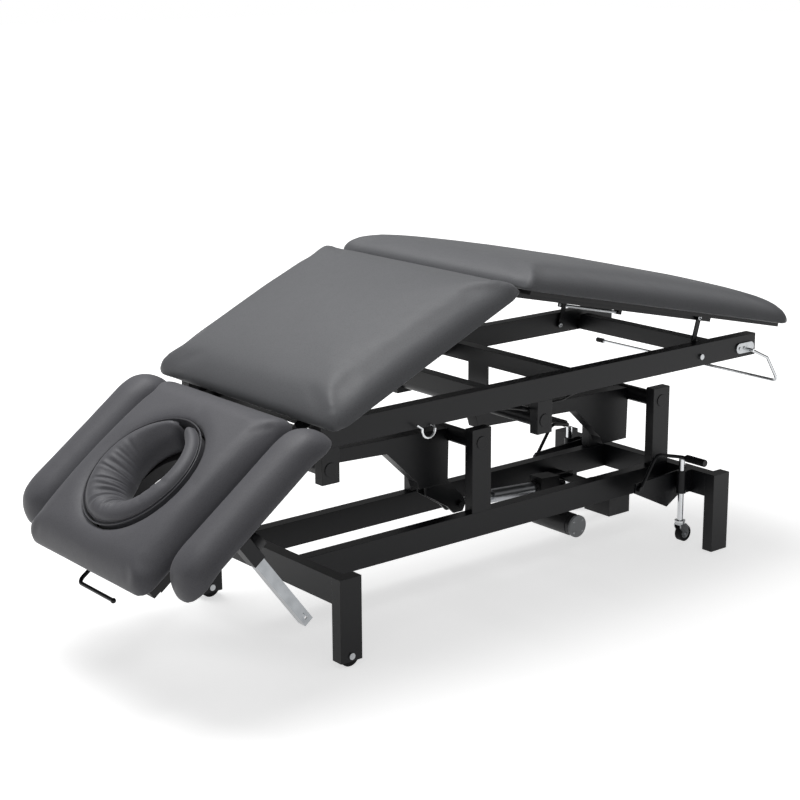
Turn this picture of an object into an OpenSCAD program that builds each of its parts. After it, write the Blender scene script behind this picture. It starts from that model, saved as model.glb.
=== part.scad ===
// Treatment table with a lifting centre: low base, parallel lift arms, upper frame,
// back and leg sections joined at the raised middle, head section with face opening.
// Origin on the floor under the middle of the whole length. X runs from head end to foot end,
// Y across, Z up. Millimetres.

/* [Base] */
// length of the base over the posts
base_l = 1233; // [1000:1:1600]
// width of the base over the posts
base_w = 571; // [480:1:700]
// top of the base frame above the floor
base_top = 202; // [150:1:260]
// height of the base tubes
base_h = 60; // [40:1:80]
// width of the base tubes
base_t = 30; // [20:1:40]
// wall of every frame tube
wall = 2; // [1.5:0.5:3]
// distance between the two long base rails, inside
rail_gap = 192; // [150:1:260]
// length of a post along the table
post_x = 57; // [50:1:80]
// floor clearance of the head posts
head_post_rise = 13; // [8:1:16]

/* [Head wheels] */
// diameter of the small wheels in the head posts
head_wheel_d = 50; // [44:1:52]
// width of the small wheels
head_wheel_w = 18; // [12:1:24]
// diameter of the wheel axle
head_axle_d = 8; // [6:1:10]

/* [Lift] */
// place of the front lift pivot along the table
lift_x = -78; // [-110:1:-40]
// spacing of the two lift pivots
lift_spacing = 610; // [560:1:660]
// height of the lift pivots
lift_z = 370; // [340:1:390]
// reach of a lift arm along the table at rest
arm_run = 543; // [500:1:580]
// rise of a lift arm over its reach at rest
arm_rise = 71; // [40:1:100]
// length of an upright along the table
upright_x = 58; // [50:1:70]
// thickness of an upright
upright_t = 26; // [20:1:30]
// upright above its pivot
upright_over = 34; // [28:1:45]
// diameter of the torque tubes
torque_d = 38; // [34:1:42]
// diameter of the pivot pins
pivot_d = 28; // [20:1:30]
// width of a lift arm
arm_w = 36; // [28:1:50]
// height of a lift arm
arm_h = 30; // [24:1:36]
// depth of the gusset plate below the pivot
gusset_drop = 120; // [90:1:140]
// length of the gusset along the arm
gusset_l = 197; // [150:1:240]
// distance of the drive pin below the pivot
drive_drop = 182; // [160:1:200]
// distance of the drive pin towards the foot end
drive_fore = 27; // [10:1:40]

/* [Drive] */
// place of the rear drive pivot along the table
drive_x = 300; // [280:1:330]
// height of the rear drive pivot
drive_z = 165; // [155:1:175]
// diameter of the drive rod
rod_d = 20; // [14:1:26]
// diameter of the motor
motor_d = 56; // [48:1:62]
// place of the motor along the table
motor_x = 242; // [230:1:260]
// height of the motor
motor_z = 96; // [85:1:104]

/* [Upper frame] */
// width of the upper frame
top_w = 531; // [480:1:600]
// top of the upper frame
top_z = 543; // [520:1:560]
// height of the upper rails
top_h = 55; // [40:1:60]
// width of the upper rails
top_t = 30; // [20:1:40]
// head end of the upper rails
top_x0 = -643; // [-650:1:-630]
// foot end of the upper rails
top_x1 = 716; // [690:1:740]
// height of the crossbars
bar_h = 40; // [30:1:44]
// top of the crossbars below the top of the rails
bar_low = 12; // [8:1:14]
// width of the hanging tabs along the table
tab_x = 45; // [40:1:55]
// thickness of the hanging tabs
tab_t = 25; // [20:1:30]

/* [Sections] */
// place of the common hinge shaft along the table
hinge_x = -613; // [-620:1:-600]
// height of the common hinge shaft
hinge_z = 541; // [538:1:560]
// place of the middle hinge along the table
mid_x = -140; // [-160:1:-120]
// height of the middle hinge
mid_z = 751; // [700:1:790]
// place of the strut bolts on the leg frame
strut_x = 542; // [520:1:560]
// height of the strut bolts on the leg frame
strut_z = 600; // [590:1:615]
// place of the lower strut bolts along the table
strut_low_x = 515; // [500:1:530]
// tilt of the head section below level
head_tilt = 37; // [0:1:45]
// width of the back and leg cushions
pad_w = 686; // [650:1:710]
// thickness of the cushions
pad_t = 54; // [40:1:70]
// crown of the cushions
crown = 14; // [8:1:20]
// radius of the cushion corners
pad_r = 34; // [30:1:60]
// width of the rolled edge of the large cushions
roll_w = 62; // [30:1:80]
// thickness of the panels under the cushions
panel_t = 9; // [6:1:15]
// height of the section rails
srail_h = 15; // [12:1:18]
// width of the section rails
srail_w = 25; // [20:1:30]
// diameter of the hinge shaft and bolts
shaft_d = 10; // [8:1:10]

/* [Back section] */
// cushion past the hinge shaft towards the head end
back_over = 44; // [30:1:50]
// space between the cushion and the middle hinge
back_short = 2; // [1:1:10]

/* [Leg section] */
// cushion length past the strut bolts
leg_over = 218; // [150:1:240]
// rail length past the strut bolts
rail_past = 50; // [30:1:80]

/* [Head section] */
// hinge shaft to the rear edge of the head cushion
head_back = 56; // [54:1:80]
// length of the head cushion
head_l = 474; // [400:1:500]
// how much narrower the head section is than the frame
head_narrow = 56; // [40:1:90]
// width of the rolled edge of the head cushion
head_roll = 46; // [30:1:56]
// length of the face opening
hole_l = 128; // [110:1:150]
// width of the face opening
hole_w = 106; // [90:1:130]
// distance of the opening's centre from the rear edge
hole_at = 248; // [235:1:260]
// outer length of the face ring
ring_l = 280; // [260:1:290]
// outer width of the face ring
ring_w = 284; // [260:1:294]
// height of the face ring above the cushion
ring_rise = 9; // [4:1:16]
// space between the face ring and its recess
ring_gap = 4; // [2:1:6]
// height of the head board above the other boards
head_rise = 18; // [0:1:30]
// rise of the head cushion along its middle
head_arch = 16; // [0:1:24]

/* [Armrests] */
// length of an armrest
rest_l = 442; // [400:1:480]
// width of the rolled edge of an armrest
rest_roll = 44; // [20:1:46]
// width of an armrest
rest_w = 116; // [90:1:130]
// outward bow of an armrest
rest_bow = 22; // [10:1:40]
// distance of the armrest's middle from the centre line
rest_y = 306; // [295:1:330]
// side of the square support tube
post_s = 24; // [18:1:28]
// length of the support tube
post_l = 280; // [220:1:320]
// support tube place from the rear edge of the head cushion
post_at = 268; // [240:1:290]

/* [Casters] */
// distance of the casters from the base's foot end
caster_in = 85.5; // [76:0.5:96]
// distance of the casters from the centre line
caster_y = 203; // [190:1:215]
// diameter of the caster wheels
caster_d = 42; // [36:1:50]
// width of the caster wheels
caster_w = 16; // [12:1:22]
// floor clearance of the raised caster wheels
caster_up = 14; // [8:1:20]
// diameter of the caster tube
caster_tube_d = 16; // [12:1:20]
// outer diameter of the caster sleeve
sleeve_d = 25; // [22:1:30]
// length of the caster sleeve
sleeve_l = 58; // [40:1:70]

/* [Accessories] */
// diameter of the roll holder rod
roll_d = 8; // [6:1:12]
// length of the roll holder's cross rod
roll_l = 625; // [560:1:660]
// reach of the roll holder past its pivot
roll_out = 66; // [50:1:90]
// drop of the roll holder below its pivot
roll_drop = 84; // [60:1:110]

/* [Hidden] */

over = 1;
gap = 0.3;
run = 0.05;
fine = 64;
mid = 40;
low = 24;

// base places
bx = base_l / 2;
by = base_w / 2;
rail_y0 = rail_gap / 2;
rail_y1 = rail_y0 + base_t;
base_low = base_top - base_h;
foot_beam_x = bx - post_x;
caster_x = bx - caster_in;
// lift places
rear_x = lift_x + lift_spacing;
tip_x = lift_x - arm_run;
tip_z = lift_z + arm_rise;
upright_y1 = rail_y1;
upright_y0 = upright_y1 - upright_t;
upright_top = lift_z + upright_over;
// upper frame places
top_y1 = top_w / 2;
head_w = top_w - head_narrow;
top_y0 = top_y1 - top_t;
top_low = top_z - top_h;
tab_y0 = top_y1 - tab_t;
tab_under = 31;
tab_low = tip_z - tab_under;
bar_top = top_z - bar_low;
// section places
back_run = mid_x - hinge_x;
back_up = mid_z - hinge_z;
back_tilt = atan2(back_up, back_run);
back_l = norm([back_run, back_up]);
leg_run = strut_x - mid_x;
leg_down = mid_z - strut_z;
leg_tilt = atan2(leg_down, leg_run);
leg_l = norm([leg_run, leg_down]);
flat_x = hinge_x + back_l + leg_l;
strut_low_z = (flat_x * flat_x - strut_x * strut_x + hinge_z * hinge_z - strut_z * strut_z
  - 2 * strut_low_x * (flat_x - strut_x)) / (2 * (hinge_z - strut_z));
plane = srail_h / 2 + panel_t;
strut_gap = 2.35;
strut_t = 4;
bolt_thin = 2;
srail_y1 = top_y0 - strut_gap - strut_t - bolt_thin - gap * 3;
srail_y0 = srail_y1 - srail_w;
head_rail_y1 = srail_y0 - strut_gap;
head_rail_y0 = head_rail_y1 - srail_w;
strut_y0 = srail_y1 + strut_gap;

// helpers
function unit2(v) = v / norm(v);
function inset_pt(a, b, c, d) = let(u = unit2(b - a), w = unit2(c - b),
  n1 = [-u[1], u[0]], n2 = [-w[1], w[0]]) b + d * (n1 + n2) / (1 + n1 * n2);
function inset_poly(p, d) = [for (i = [0:len(p) - 1])
  inset_pt(p[(i + len(p) - 1) % len(p)], p[i], p[(i + 1) % len(p)], d)];

module block(x0, x1, y0, y1, z0, z1) {
  translate([x0, y0, z0]) cube([x1 - x0, y1 - y0, z1 - z0]);
}

module tube_x(x0, x1, y0, y1, z0, z1, w) {
  difference() {
    block(x0, x1, y0, y1, z0, z1);
    block(x0 - over, x1 + over, y0 + w, y1 - w, z0 + w, z1 - w);
  }
}

module tube_y(x0, x1, y0, y1, z0, z1, w) {
  difference() {
    block(x0, x1, y0, y1, z0, z1);
    block(x0 + w, x1 - w, y0 - over, y1 + over, z0 + w, z1 - w);
  }
}

module rod_y(x, y0, y1, z, d, n = fine) {
  translate([x, y0, z]) rotate([-90, 0, 0]) cylinder(d = d, h = y1 - y0, $fn = n);
}

module rod_x(x0, x1, y, z, d, n = mid) {
  translate([x0, y, z]) rotate([0, 90, 0]) cylinder(d = d, h = x1 - x0, $fn = n);
}

module pipe_y(x, y0, y1, z, d, bore) {
  difference() {
    rod_y(x, y0, y1, z, d);
    rod_y(x, y0 - over, y1 + over, z, bore);
  }
}

module plate_xz(p, y0, y1) {
  translate([0, y1, 0]) rotate([90, 0, 0]) linear_extrude(y1 - y0) polygon(p);
}

module box_xz(p, w, t) {
  difference() {
    plate_xz(p, -w / 2, w / 2);
    plate_xz(inset_poly(p, t), t - w / 2, w / 2 - t);
  }
}

module both_sides() {
  children();
  mirror([0, 1, 0]) children();
}

// closed skin over rings of equal count, with a centre point at each end
function ring_faces(n, m) = [for (j = [0:m - 2]) for (i = [0:n - 1]) for (k = [0:1])
  let(a = j * n + i, b = j * n + (i + 1) % n, c = a + n, d = b + n)
  k == 0 ? [a, c, b] : [b, c, d]];
function cap_faces(n, m) = concat([for (i = [0:n - 1]) [n * m, i, (i + 1) % n]],
  [for (i = [0:n - 1]) [n * m + 1, (m - 1) * n + (i + 1) % n, (m - 1) * n + i]]);

module skin(rings, low_pt, top_pt) {
  n = len(rings[0]);
  m = len(rings);
  polyhedron(points = concat([for (r = rings) for (p = r) p], [low_pt, top_pt]),
    faces = concat(ring_faces(n, m), cap_faces(n, m)));
}

module hoop(rings) {
  n = len(rings[0]);
  m = len(rings);
  polyhedron(points = [for (r = rings) for (p = r) p],
    faces = [for (j = [0:m - 1]) for (i = [0:n - 1]) for (k = [0:1])
      let(j2 = (j + 1) % m, a = j * n + i, b = j * n + (i + 1) % n, c = j2 * n + i,
        d = j2 * n + (i + 1) % n) k == 0 ? [a, c, b] : [b, c, d]]);
}

// cushion side profile: a tucked lower edge, a rolled side, then the crown
edge_n = 7;
tuck_share = 0.06;
crown_rows_share = [1.5, 2.4, 3.6];
crown_lift_share = [0.35, 0.7, 0.93];
function edge_in(i) = i == 0 ? tuck_share : i == 1 ? 0 : 1 - cos(90 * (i - 1) / edge_n);
function edge_up(i) = i == 0 ? 0 : tuck_share + (1 - tuck_share) * sin(90 * (i - 1) / edge_n);
edge_rows = [for (i = [0:edge_n + 1]) [edge_in(i), edge_up(i)]];
round_n = 8;

// rounded rectangle from x0 to x1 and -w/2 to w/2, drawn in by d
function rr_pts(x0, x1, w, r, d) = let(q = max(r - d, r / 4),
  cx = [x1 - d - q, x0 + d + q, x0 + d + q, x1 - d - q],
  cy = [w / 2 - d - q, w / 2 - d - q, q + d - w / 2, q + d - w / 2])
  [for (k = [0:3]) for (i = [0:round_n]) let(a = 90 * k + 90 * i / round_n)
    [cx[k] + q * cos(a), cy[k] + q * sin(a)]];

module cushion(x0, x1, w, r, b, t, c) {
  side = [for (e = edge_rows) [for (p = rr_pts(x0, x1, w, r, b * e[0])) [p[0], p[1], t * e[1]]]];
  top = [for (i = [0:len(crown_rows_share) - 1])
    [for (p = rr_pts(x0, x1, w, r, b * crown_rows_share[i])) [p[0], p[1], t + c * crown_lift_share[i]]]];
  skin(concat(side, top), [(x0 + x1) / 2, 0, 0], [(x0 + x1) / 2, 0, t + c]);
}

module at_back() { translate([hinge_x, 0, hinge_z]) rotate([0, -back_tilt, 0]) children(); }
module at_leg() { translate([mid_x, 0, mid_z]) rotate([0, leg_tilt, 0]) children(); }
module at_head() { translate([hinge_x, 0, hinge_z]) rotate([0, -head_tilt, 0]) children(); }

// base
module base_rails() {
  color("#2b2b2d") both_sides()
    tube_x(base_t - bx, foot_beam_x, rail_y0, rail_y1, base_low, base_top, wall);
}

module base_crossbeams() {
  color("#2b2b2d") {
    tube_y(-bx, base_t - bx, base_t - by, by - base_t, base_low, base_top, wall);
    tube_y(foot_beam_x, foot_beam_x + base_t, base_t - by, by - base_t, base_low, base_top, wall);
  }
}

module post(x, low) {
  difference() {
    block(x, x + post_x, by - base_t, by, low, base_top);
    block(x + wall, x + post_x - wall, by - base_t + wall, by - wall, low - over, base_top - wall);
  }
}

head_wheel_x = post_x / 2 - bx;
bolt_head_d = 15;
bolt_head_t = 3;

module head_posts() {
  color("#2b2b2d") both_sides() difference() {
    post(-bx, head_post_rise);
    rod_y(head_wheel_x, by - base_t - over, by + over, head_wheel_d / 2, head_axle_d);
  }
}

module foot_posts() {
  color("#2b2b2d") both_sides() post(foot_beam_x, 0);
}

module head_wheel_bolts() {
  color("#c9ccce") both_sides() {
    rod_y(head_wheel_x, by - base_t, by, head_wheel_d / 2, head_axle_d - run * 2);
    rod_y(head_wheel_x, by, by + bolt_head_t, head_wheel_d / 2, bolt_head_d, low);
    rod_y(head_wheel_x, by - base_t - bolt_head_t, by - base_t, head_wheel_d / 2, bolt_head_d, low);
  }
}

module head_wheel() {
  y = by - base_t / 2;
  pipe_y(head_wheel_x, y - head_wheel_w / 2, y + head_wheel_w / 2, head_wheel_d / 2,
    head_wheel_d, head_axle_d);
}

module near_head_wheel() {
  color("#222222") mirror([0, 1, 0]) head_wheel();
}

module far_head_wheel() {
  color("#222222") head_wheel();
}

module upright(x) {
  difference() {
    block(x - upright_x / 2, x + upright_x / 2, upright_y0, upright_y1, base_top, upright_top);
    block(x - upright_x / 2 + wall, x + upright_x / 2 - wall, upright_y0 + wall, upright_y1 - wall,
      base_top - over, upright_top - wall);
    rod_y(x, upright_y0 - over, upright_y1 + over, lift_z, pivot_d);
  }
}

module uprights() {
  color("#2b2b2d") both_sides() for (x = [lift_x, rear_x]) upright(x);
}

pin_in = 22;
pin_lip = 1.5;
pin_lip_d = pivot_d + pin_lip * 2;

module lift_pivot_pins() {
  color("#232325") both_sides() for (x = [lift_x, rear_x]) {
    rod_y(x, upright_y0 - pin_in, upright_y1, lift_z, pivot_d - run * 2);
    rod_y(x, upright_y1, upright_y1 + pin_lip, lift_z, pin_lip_d, mid);
  }
}

plate_x0 = 335;
plate_w = 46;
plate_t = 6;
plate_low = 34;
plate_z = base_top - plate_low;
bracket_t = 8;
bracket_half = 34;

eye_lap = 11;

module cross_plate() {
  color("#2b2b2d") {
    block(plate_x0, plate_x0 + plate_w, -rail_y0, rail_y0, plate_z - plate_t, plate_z);
    both_sides() block(drive_x - eye_lap, plate_x0 + plate_w, bracket_half, bracket_half + bracket_t,
      drive_z - eye_lap, drive_z + eye_lap);
    rod_y(drive_x, -bracket_half - bracket_t, bracket_half + bracket_t, drive_z, shaft_d - run * 2);
  }
}

box_l = 72;
box_w = 88;
box_h = 46;
box_x = 356;

module control_box() {
  color("#262627") block(box_x, box_x + box_l, -rail_y1 + wall * 2, box_w - rail_y1 + wall * 2,
    base_low - box_h, base_low);
}

// lift arms
bend_run = 62;
bar_end_x = arm_run - bend_run;
bar_rise = 12;
lug_t = 6;
lug_in = 11;
lug_r = 19;
lug_lap = 6;
gusset_back = 12;
gusset_foot_share = 0.54;
gusset_heel_share = 0.84;
side_share = 0.5;
pin_head_d = 16;

arm_pts = [[-bar_end_x, bar_rise - arm_h / 2], [-torque_d * side_share, -arm_h / 2],
  [-torque_d * side_share, arm_h / 2], [-bar_end_x, bar_rise + arm_h / 2]];
gusset_pts = [[-gusset_l, -arm_h / 2], [-gusset_l * gusset_foot_share, -gusset_drop * gusset_heel_share],
  [-gusset_l * side_share, -gusset_drop], [-gusset_back, -gusset_drop],
  [-torque_d * side_share, -arm_h / 2]];
lug_pts = [[-gusset_l * side_share + lug_r, lug_lap - gusset_drop], [-gusset_l * side_share + lug_r,
  -gusset_drop - lug_r], [drive_fore - lug_r * 2, -drive_drop], [drive_fore - lug_r, -drive_drop - lug_r],
  [drive_fore + lug_r / 2, -drive_drop - lug_r], [drive_fore + lug_r, -drive_drop],
  [drive_fore + lug_r / 2, -drive_drop + lug_r], [-gusset_back, lug_lap - gusset_drop]];

// outline of bar, neck and gusset together, counter-clockwise
arm_outer = [[-bar_end_x, bar_rise - arm_h / 2], [-gusset_l, -arm_h / 2],
  [-gusset_l * gusset_foot_share, -gusset_drop * gusset_heel_share],
  [-gusset_l * side_share, -gusset_drop], [-gusset_back, -gusset_drop],
  [-torque_d / 4, -arm_h / 2], [-torque_d / 4, arm_h / 2], [-bar_end_x, bar_rise + arm_h / 2],
  [torque_d / 4 - arm_run, arm_rise + arm_h / 2], [-arm_run, arm_rise - arm_h / 2],
  [torque_d / 2 - arm_run, bar_rise - arm_h / 2]];

module arm_solid() {
  difference() {
    plate_xz(arm_outer, -arm_w / 2, arm_w / 2);
    plate_xz(inset_poly(arm_pts, wall * 2), wall * 2 - arm_w / 2, arm_w / 2 - wall * 2);
    plate_xz(inset_poly(gusset_pts, wall * 2), wall * 2 - arm_w / 2, arm_w / 2 - wall * 2);
    rod_y(0, -arm_w, arm_w, 0, torque_d);
    rod_y(-arm_run, -arm_w, arm_w, arm_rise, torque_d);
  }
}

module front_arm() {
  color("#28282a") translate([lift_x, 0, lift_z]) {
    arm_solid();
    both_sides() {
      plate_xz(lug_pts, lug_in, lug_in + lug_t);
      rod_y(drive_fore, lug_in + lug_t, lug_in + lug_t * 2, -drive_drop, pin_head_d, low);
    }
  }
}

module rear_arm() {
  color("#28282a") translate([rear_x, 0, lift_z]) arm_solid();
}

lift_tube_y = upright_y0 - gap;
tip_gap = 1;

module torque_tubes(x, tip_y) {
  pipe_y(x, -lift_tube_y, lift_tube_y, lift_z, torque_d, pivot_d);
  pipe_y(x - arm_run, -tip_y, tip_y, tip_z, torque_d, pivot_d);
}

module front_torque_tubes() {
  color("#2b2b2d") torque_tubes(lift_x, tab_y0 - gap);
}

module rear_torque_tubes() {
  color("#2b2b2d") torque_tubes(rear_x, tab_y0 - tip_gap);
}

// drive
drive_pin_x = lift_x + drive_fore;
drive_pin_z = lift_z - drive_drop;
drive_run = drive_x - drive_pin_x;
drive_lift = drive_pin_z - drive_z;
drive_tilt = atan2(drive_lift, drive_run);
drive_len = norm([drive_run, drive_lift]);
gear_l = 62;
gear_w = 44;
gear_h = 60;
gear_at = 24;
eye_t = 18;
eye_d = 26;
neck_d = 34;
neck_l = 150;
motor_in = 14;
rod_end = 12;
cap_t = 6;

module at_drive() { translate([drive_x, 0, drive_z]) rotate([0, drive_tilt, 0]) children(); }

collar_d = 42;
collar_l = 12;

module gear_motor() {
  color("#1f1f20") difference() {
    union() {
      at_drive() {
        block(-gear_at - gear_l, -gear_at, -gear_w / 2, gear_w / 2, -gear_h / 2, gear_h / 2);
        block(-gear_at - over, 0, -eye_t / 2, eye_t / 2, -eye_d / 2, eye_d / 2);
        rod_x(-gear_at - gear_l - collar_l, -gear_at - gear_l, 0, 0, collar_d);
        rod_y(0, -eye_t / 2, eye_t / 2, 0, eye_d);
      }
      block(motor_x - motor_d / 2, motor_x + motor_d / 2, -gear_w / 2, gear_w / 2,
        motor_z, drive_z - gear_h / 4);
      rod_y(motor_x, cap_t + motor_in - rail_y1, gear_w / 2, motor_z, motor_d);
      rod_y(motor_x, cap_t - rail_y1, cap_t + motor_in - rail_y1, motor_z, motor_d - wall);
    }
    at_drive() {
      rod_x(-gear_at - gear_l - neck_l, -gear_at - gear_l, 0, 0, neck_d);
      rod_x(-gear_at - gear_l - over, -gear_at - rod_end, 0, 0, rod_d);
      rod_y(0, -eye_t, eye_t, 0, shaft_d);
    }
  }
}

module drive_tube() {
  color("#b4b7ba") at_drive() difference() {
    rod_x(-gear_at - gear_l - neck_l, -gear_at - gear_l, 0, 0, neck_d);
    rod_x(-gear_at - gear_l - neck_l - over, -gear_at, 0, 0, rod_d);
  }
}

module motor_cap() {
  color("#b9bbbd") rod_y(motor_x, -rail_y1, cap_t - rail_y1, motor_z, motor_d);
}

module drive_rod() {
  color("#c9ccce") difference() {
    at_drive() {
      rod_x(eye_d / 4 - drive_len, -gear_at - rod_end * 2, 0, 0, rod_d - run * 2);
      rod_y(-drive_len, -eye_t / 2, eye_t / 2, 0, eye_d);
    }
    at_drive() rod_y(-drive_len, -eye_t, eye_t, 0, shaft_d);
  }
}

// upper frame
module upper_rails() {
  color("#2b2b2d") both_sides() difference() {
    union() {
      tube_x(top_x0, top_x1, top_y0, top_y1, top_low, top_z, wall);
      rod_y(hinge_x, srail_y1 + gap, top_y0 + wall, hinge_z, pivot_pad);
    }
    rod_y(hinge_x, srail_y1, top_y0, hinge_z, shaft_d);
  }
}

foot_bar_x = 586;
mid_bar_x = 103;
back_bar_x = -161;
head_bar_x = -571;

bar_notch = 20;
notch_gap = 4;

module crossbar(x, z) {
  tube_y(x, x + top_t, -top_y0, top_y0, z - bar_h, z, wall);
}

stub_y0 = 60;
stub_w = 70;
stub_t = 6;
stub_drop = 50;

module upper_crossbars() {
  color("#2b2b2d") {
    difference() {
      crossbar(foot_bar_x, bar_top);
      both_sides() block(foot_bar_x - over, foot_bar_x + top_t + over, strut_y0 - notch_gap, top_w,
        bar_top - bar_notch, bar_top + over);
    }
    crossbar(mid_bar_x, bar_top);
    crossbar(back_bar_x, bar_top);
    crossbar(head_bar_x, bar_top);
    block(mid_bar_x, mid_bar_x + stub_t, stub_y0, stub_y0 + stub_w, bar_top - bar_h - stub_drop,
      bar_top - bar_h);
  }
}

plug_t = 2;

module rail_plugs() {
  color("#1c1c1c") both_sides() {
    block(top_x0 - plug_t, top_x0, top_y0, top_y1, top_low, top_z);
    block(top_x1, top_x1 + plug_t, top_y0, top_y1, top_low, top_z);
  }
}

module tab(x) {
  difference() {
    block(x - tab_x / 2, x + tab_x / 2, tab_y0, top_y1, tab_low, top_low);
    rod_y(x, tab_y0 - over, top_y1 + over, tip_z, pivot_d);
  }
}

module frame_tabs() {
  color("#2b2b2d") both_sides() {
    tab(tip_x);
    tab(tip_x + lift_spacing);
  }
}

module tab_pins() {
  color("#232325") both_sides() {
    rod_y(tip_x, tab_y0 - pin_in, top_y1, tip_z, pivot_d - run * 2);
    rod_y(tip_x, top_y1, top_y1 + pin_lip, tip_z, pin_lip_d, mid);
    rod_y(tip_x + lift_spacing, tab_y0, top_y1, tip_z, pivot_d);
    rod_y(tip_x + lift_spacing, top_y1, top_y1 + pin_lip, tip_z, pin_lip_d, mid);
  }
}

strut_bolt_d = 14;
strut_bolt_t = 5;

module frame_pins() {
  color("#c9ccce") {
    both_sides() rod_y(strut_low_x, top_y1, top_y1 + strut_bolt_t, strut_low_z, strut_bolt_d, low);
  }
}

// swept rod along points, square to its first and last run
function nrm(v) = v / norm(v);
function run_dir(p, i) = i == 0 ? nrm(p[1] - p[0]) : i == len(p) - 1 ? nrm(p[i] - p[i - 1])
  : nrm(nrm(p[i + 1] - p[i]) + nrm(p[i] - p[i - 1]));
function side_dir(t, u) = nrm(u - (u * t) * t);
function sweep_ring(c, t, s, r, n) = let(b = cross(t, s)) [for (k = [0:n - 1])
  let(a = 360 * k / n) c + r * (cos(a) * s + sin(a) * b)];

module swept(p, d, up, n = 12) {
  rings = [for (i = [0:len(p) - 1]) let(t = run_dir(p, i)) sweep_ring(p[i], t, side_dir(t, up), d / 2, n)];
  m = len(p);
  polyhedron(points = [for (r = rings) for (q = r) q],
    faces = concat([for (j = [0:m - 2]) for (i = [0:n - 1]) for (k = [0:1])
      let(a = j * n + i, b = j * n + (i + 1) % n, c = a + n, e = b + n)
      k == 0 ? [a, c, b] : [b, c, e]],
      [[for (i = [0:n - 1]) i]], [[for (i = [n - 1:-1:0]) (m - 1) * n + i]]));
}

function bend(a, b, c, r, n) = let(u = nrm(a - b), v = nrm(c - b), g = acos(u * v) / 2, l = r / tan(g),
  m = b + nrm(u + v) * r / sin(g), s = b + u * l - m, w = nrm(b - m), h = 90 - g)
  [for (i = [0:n]) let(a = -h + 2 * h * i / n, q = nrm(s - (s * w) * w)) m + r * (cos(a) * w - sin(a) * q)];

hook_d = 5;
hook_r = 18;
hook_x = -350;
hook_rise = 30;
hook_off = 14;
hook_n = 8;
hook_turn = 195;
hook_end_share = [0.5, 0.35];
hook_y = -top_y1 - hook_off;
hook_z = top_low + hook_d / 2;
hook_pts = concat([[hook_x, -top_y1, hook_z], [hook_x, hook_y + hook_d, hook_z]],
  [for (i = [0:hook_n]) let(a = hook_turn * i / hook_n) [hook_x - hook_r + hook_r * cos(a), hook_y,
    hook_z - hook_d - hook_r * sin(a)]],
  [[hook_x - hook_r * 2 - hook_rise * hook_end_share[0], hook_y, hook_z + hook_rise * hook_end_share[1]]]);
lean = [0.1, 1, 0.1];

module cable_hook() {
  color("#c9ccce") swept(hook_pts, hook_d, lean);
}

roll_x = 690;
roll_z = top_low + top_h * 0.3;
roll_plate_l = 66;
roll_plate_h = 26;
roll_plate_t = 4;
roll_screw_d = 8;

module roll_plate() {
  color("#c9ccce") difference() {
    union() {
      for (x = [roll_x - roll_plate_l / 2, roll_x + roll_plate_h / 4])
        rod_y(x, -top_y1 - roll_plate_t, -top_y1, roll_z + roll_plate_h / 4, roll_plate_h);
      block(roll_x - roll_plate_l / 2, roll_x + roll_plate_h / 4, -top_y1 - roll_plate_t, -top_y1,
        roll_z - roll_plate_h / 4, roll_z + roll_plate_h * 3 / 4);
      for (x = [roll_x - roll_plate_l / 2, roll_x - roll_plate_l / 4])
        rod_y(x, -top_y1 - roll_plate_t - wall, -top_y1 - roll_plate_t, roll_z + roll_plate_h / 4,
          roll_screw_d, low);
    }
    rod_y(roll_x, -top_y1 - roll_plate_t * 2, -top_y1 - run, roll_z, roll_d);
  }
}

cable_d = 5;
level = [0, 0.1, 1];
up_dir = [0, 0, 1];
cable_in = 17.5;
cable_bow = 20;
cable_y = cable_in - top_y1;
cable_y1 = cable_y + cable_bow;
cable_pts = [[-190, cable_y, 485.5], [-150, cable_y, 485.5], [-110, cable_y, 483], [-80, cable_y, 476],
  [-52, cable_y, 468], [-45, cable_y1, 466], [0, cable_y1, 464], [40, cable_y1, 467], [62, cable_y, 474],
  [90, cable_y, 482], [120, cable_y, 485.5], [150, cable_y, 485.5]];

module lift_cable() {
  color("#18181a") swept(cable_pts, cable_d, level, 8);
}

// sections
weld_lap = 1;
hinge_gap = 2;
pivot_pad = srail_h;

module section_rails(x0, x1, y0, y1) {
  both_sides() tube_x(x0, x1, y0, y1, -srail_h / 2, srail_h / 2, wall);
}

module pivot_block(x, y0, y1, bore) {
  both_sides() difference() {
    rod_y(x, y0, y1, 0, pivot_pad);
    rod_y(x, y0 - over, y1 + over, 0, bore);
  }
}

rail_start = pivot_pad / 2;
rail_lap_share = 0.9;
rail_free = rail_start + hinge_gap;

module back_frame() {
  color("#2b2b2d") at_back() {
    difference() {
      section_rails(rail_start * rail_lap_share, back_l - rail_start * rail_lap_share, srail_y0, srail_y1);
      both_sides() for (x = [0, back_l])
        rod_y(x, srail_y0 - over, srail_y1 + over, 0, pivot_pad - weld_lap);
    }
    both_sides() rod_y(0, srail_y0, srail_y1, 0, pivot_pad);
    rod_y(0, gap - top_y0, top_y0 - gap, 0, shaft_d - run * 2);
    pivot_block(back_l, srail_y0, srail_y1, shaft_d);
    for (x = [back_l / 4, back_l * 3 / 4])
      tube_y(x, x + srail_w, -srail_y0, srail_y0, -srail_h / 2, srail_h / 2, wall);
  }
}

panel_in = 22;
panel_lag = 3;

module back_panel() {
  color("#3a2f26") at_back() block(panel_lag, back_l - back_short - panel_in,
    panel_in - pad_w / 2, pad_w / 2 - panel_in, srail_h / 2, plane);
}

module back_cushion() {
  color("#3d3d3f") at_back() translate([0, 0, plane])
    cushion(-back_over, back_l - back_short, pad_w, pad_r, roll_w, pad_t, crown);
}

spring_x0 = 446;
spring_x1 = 650;
spring_drop = 26;
release_d = 8;
lug_lip = 5;

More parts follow.
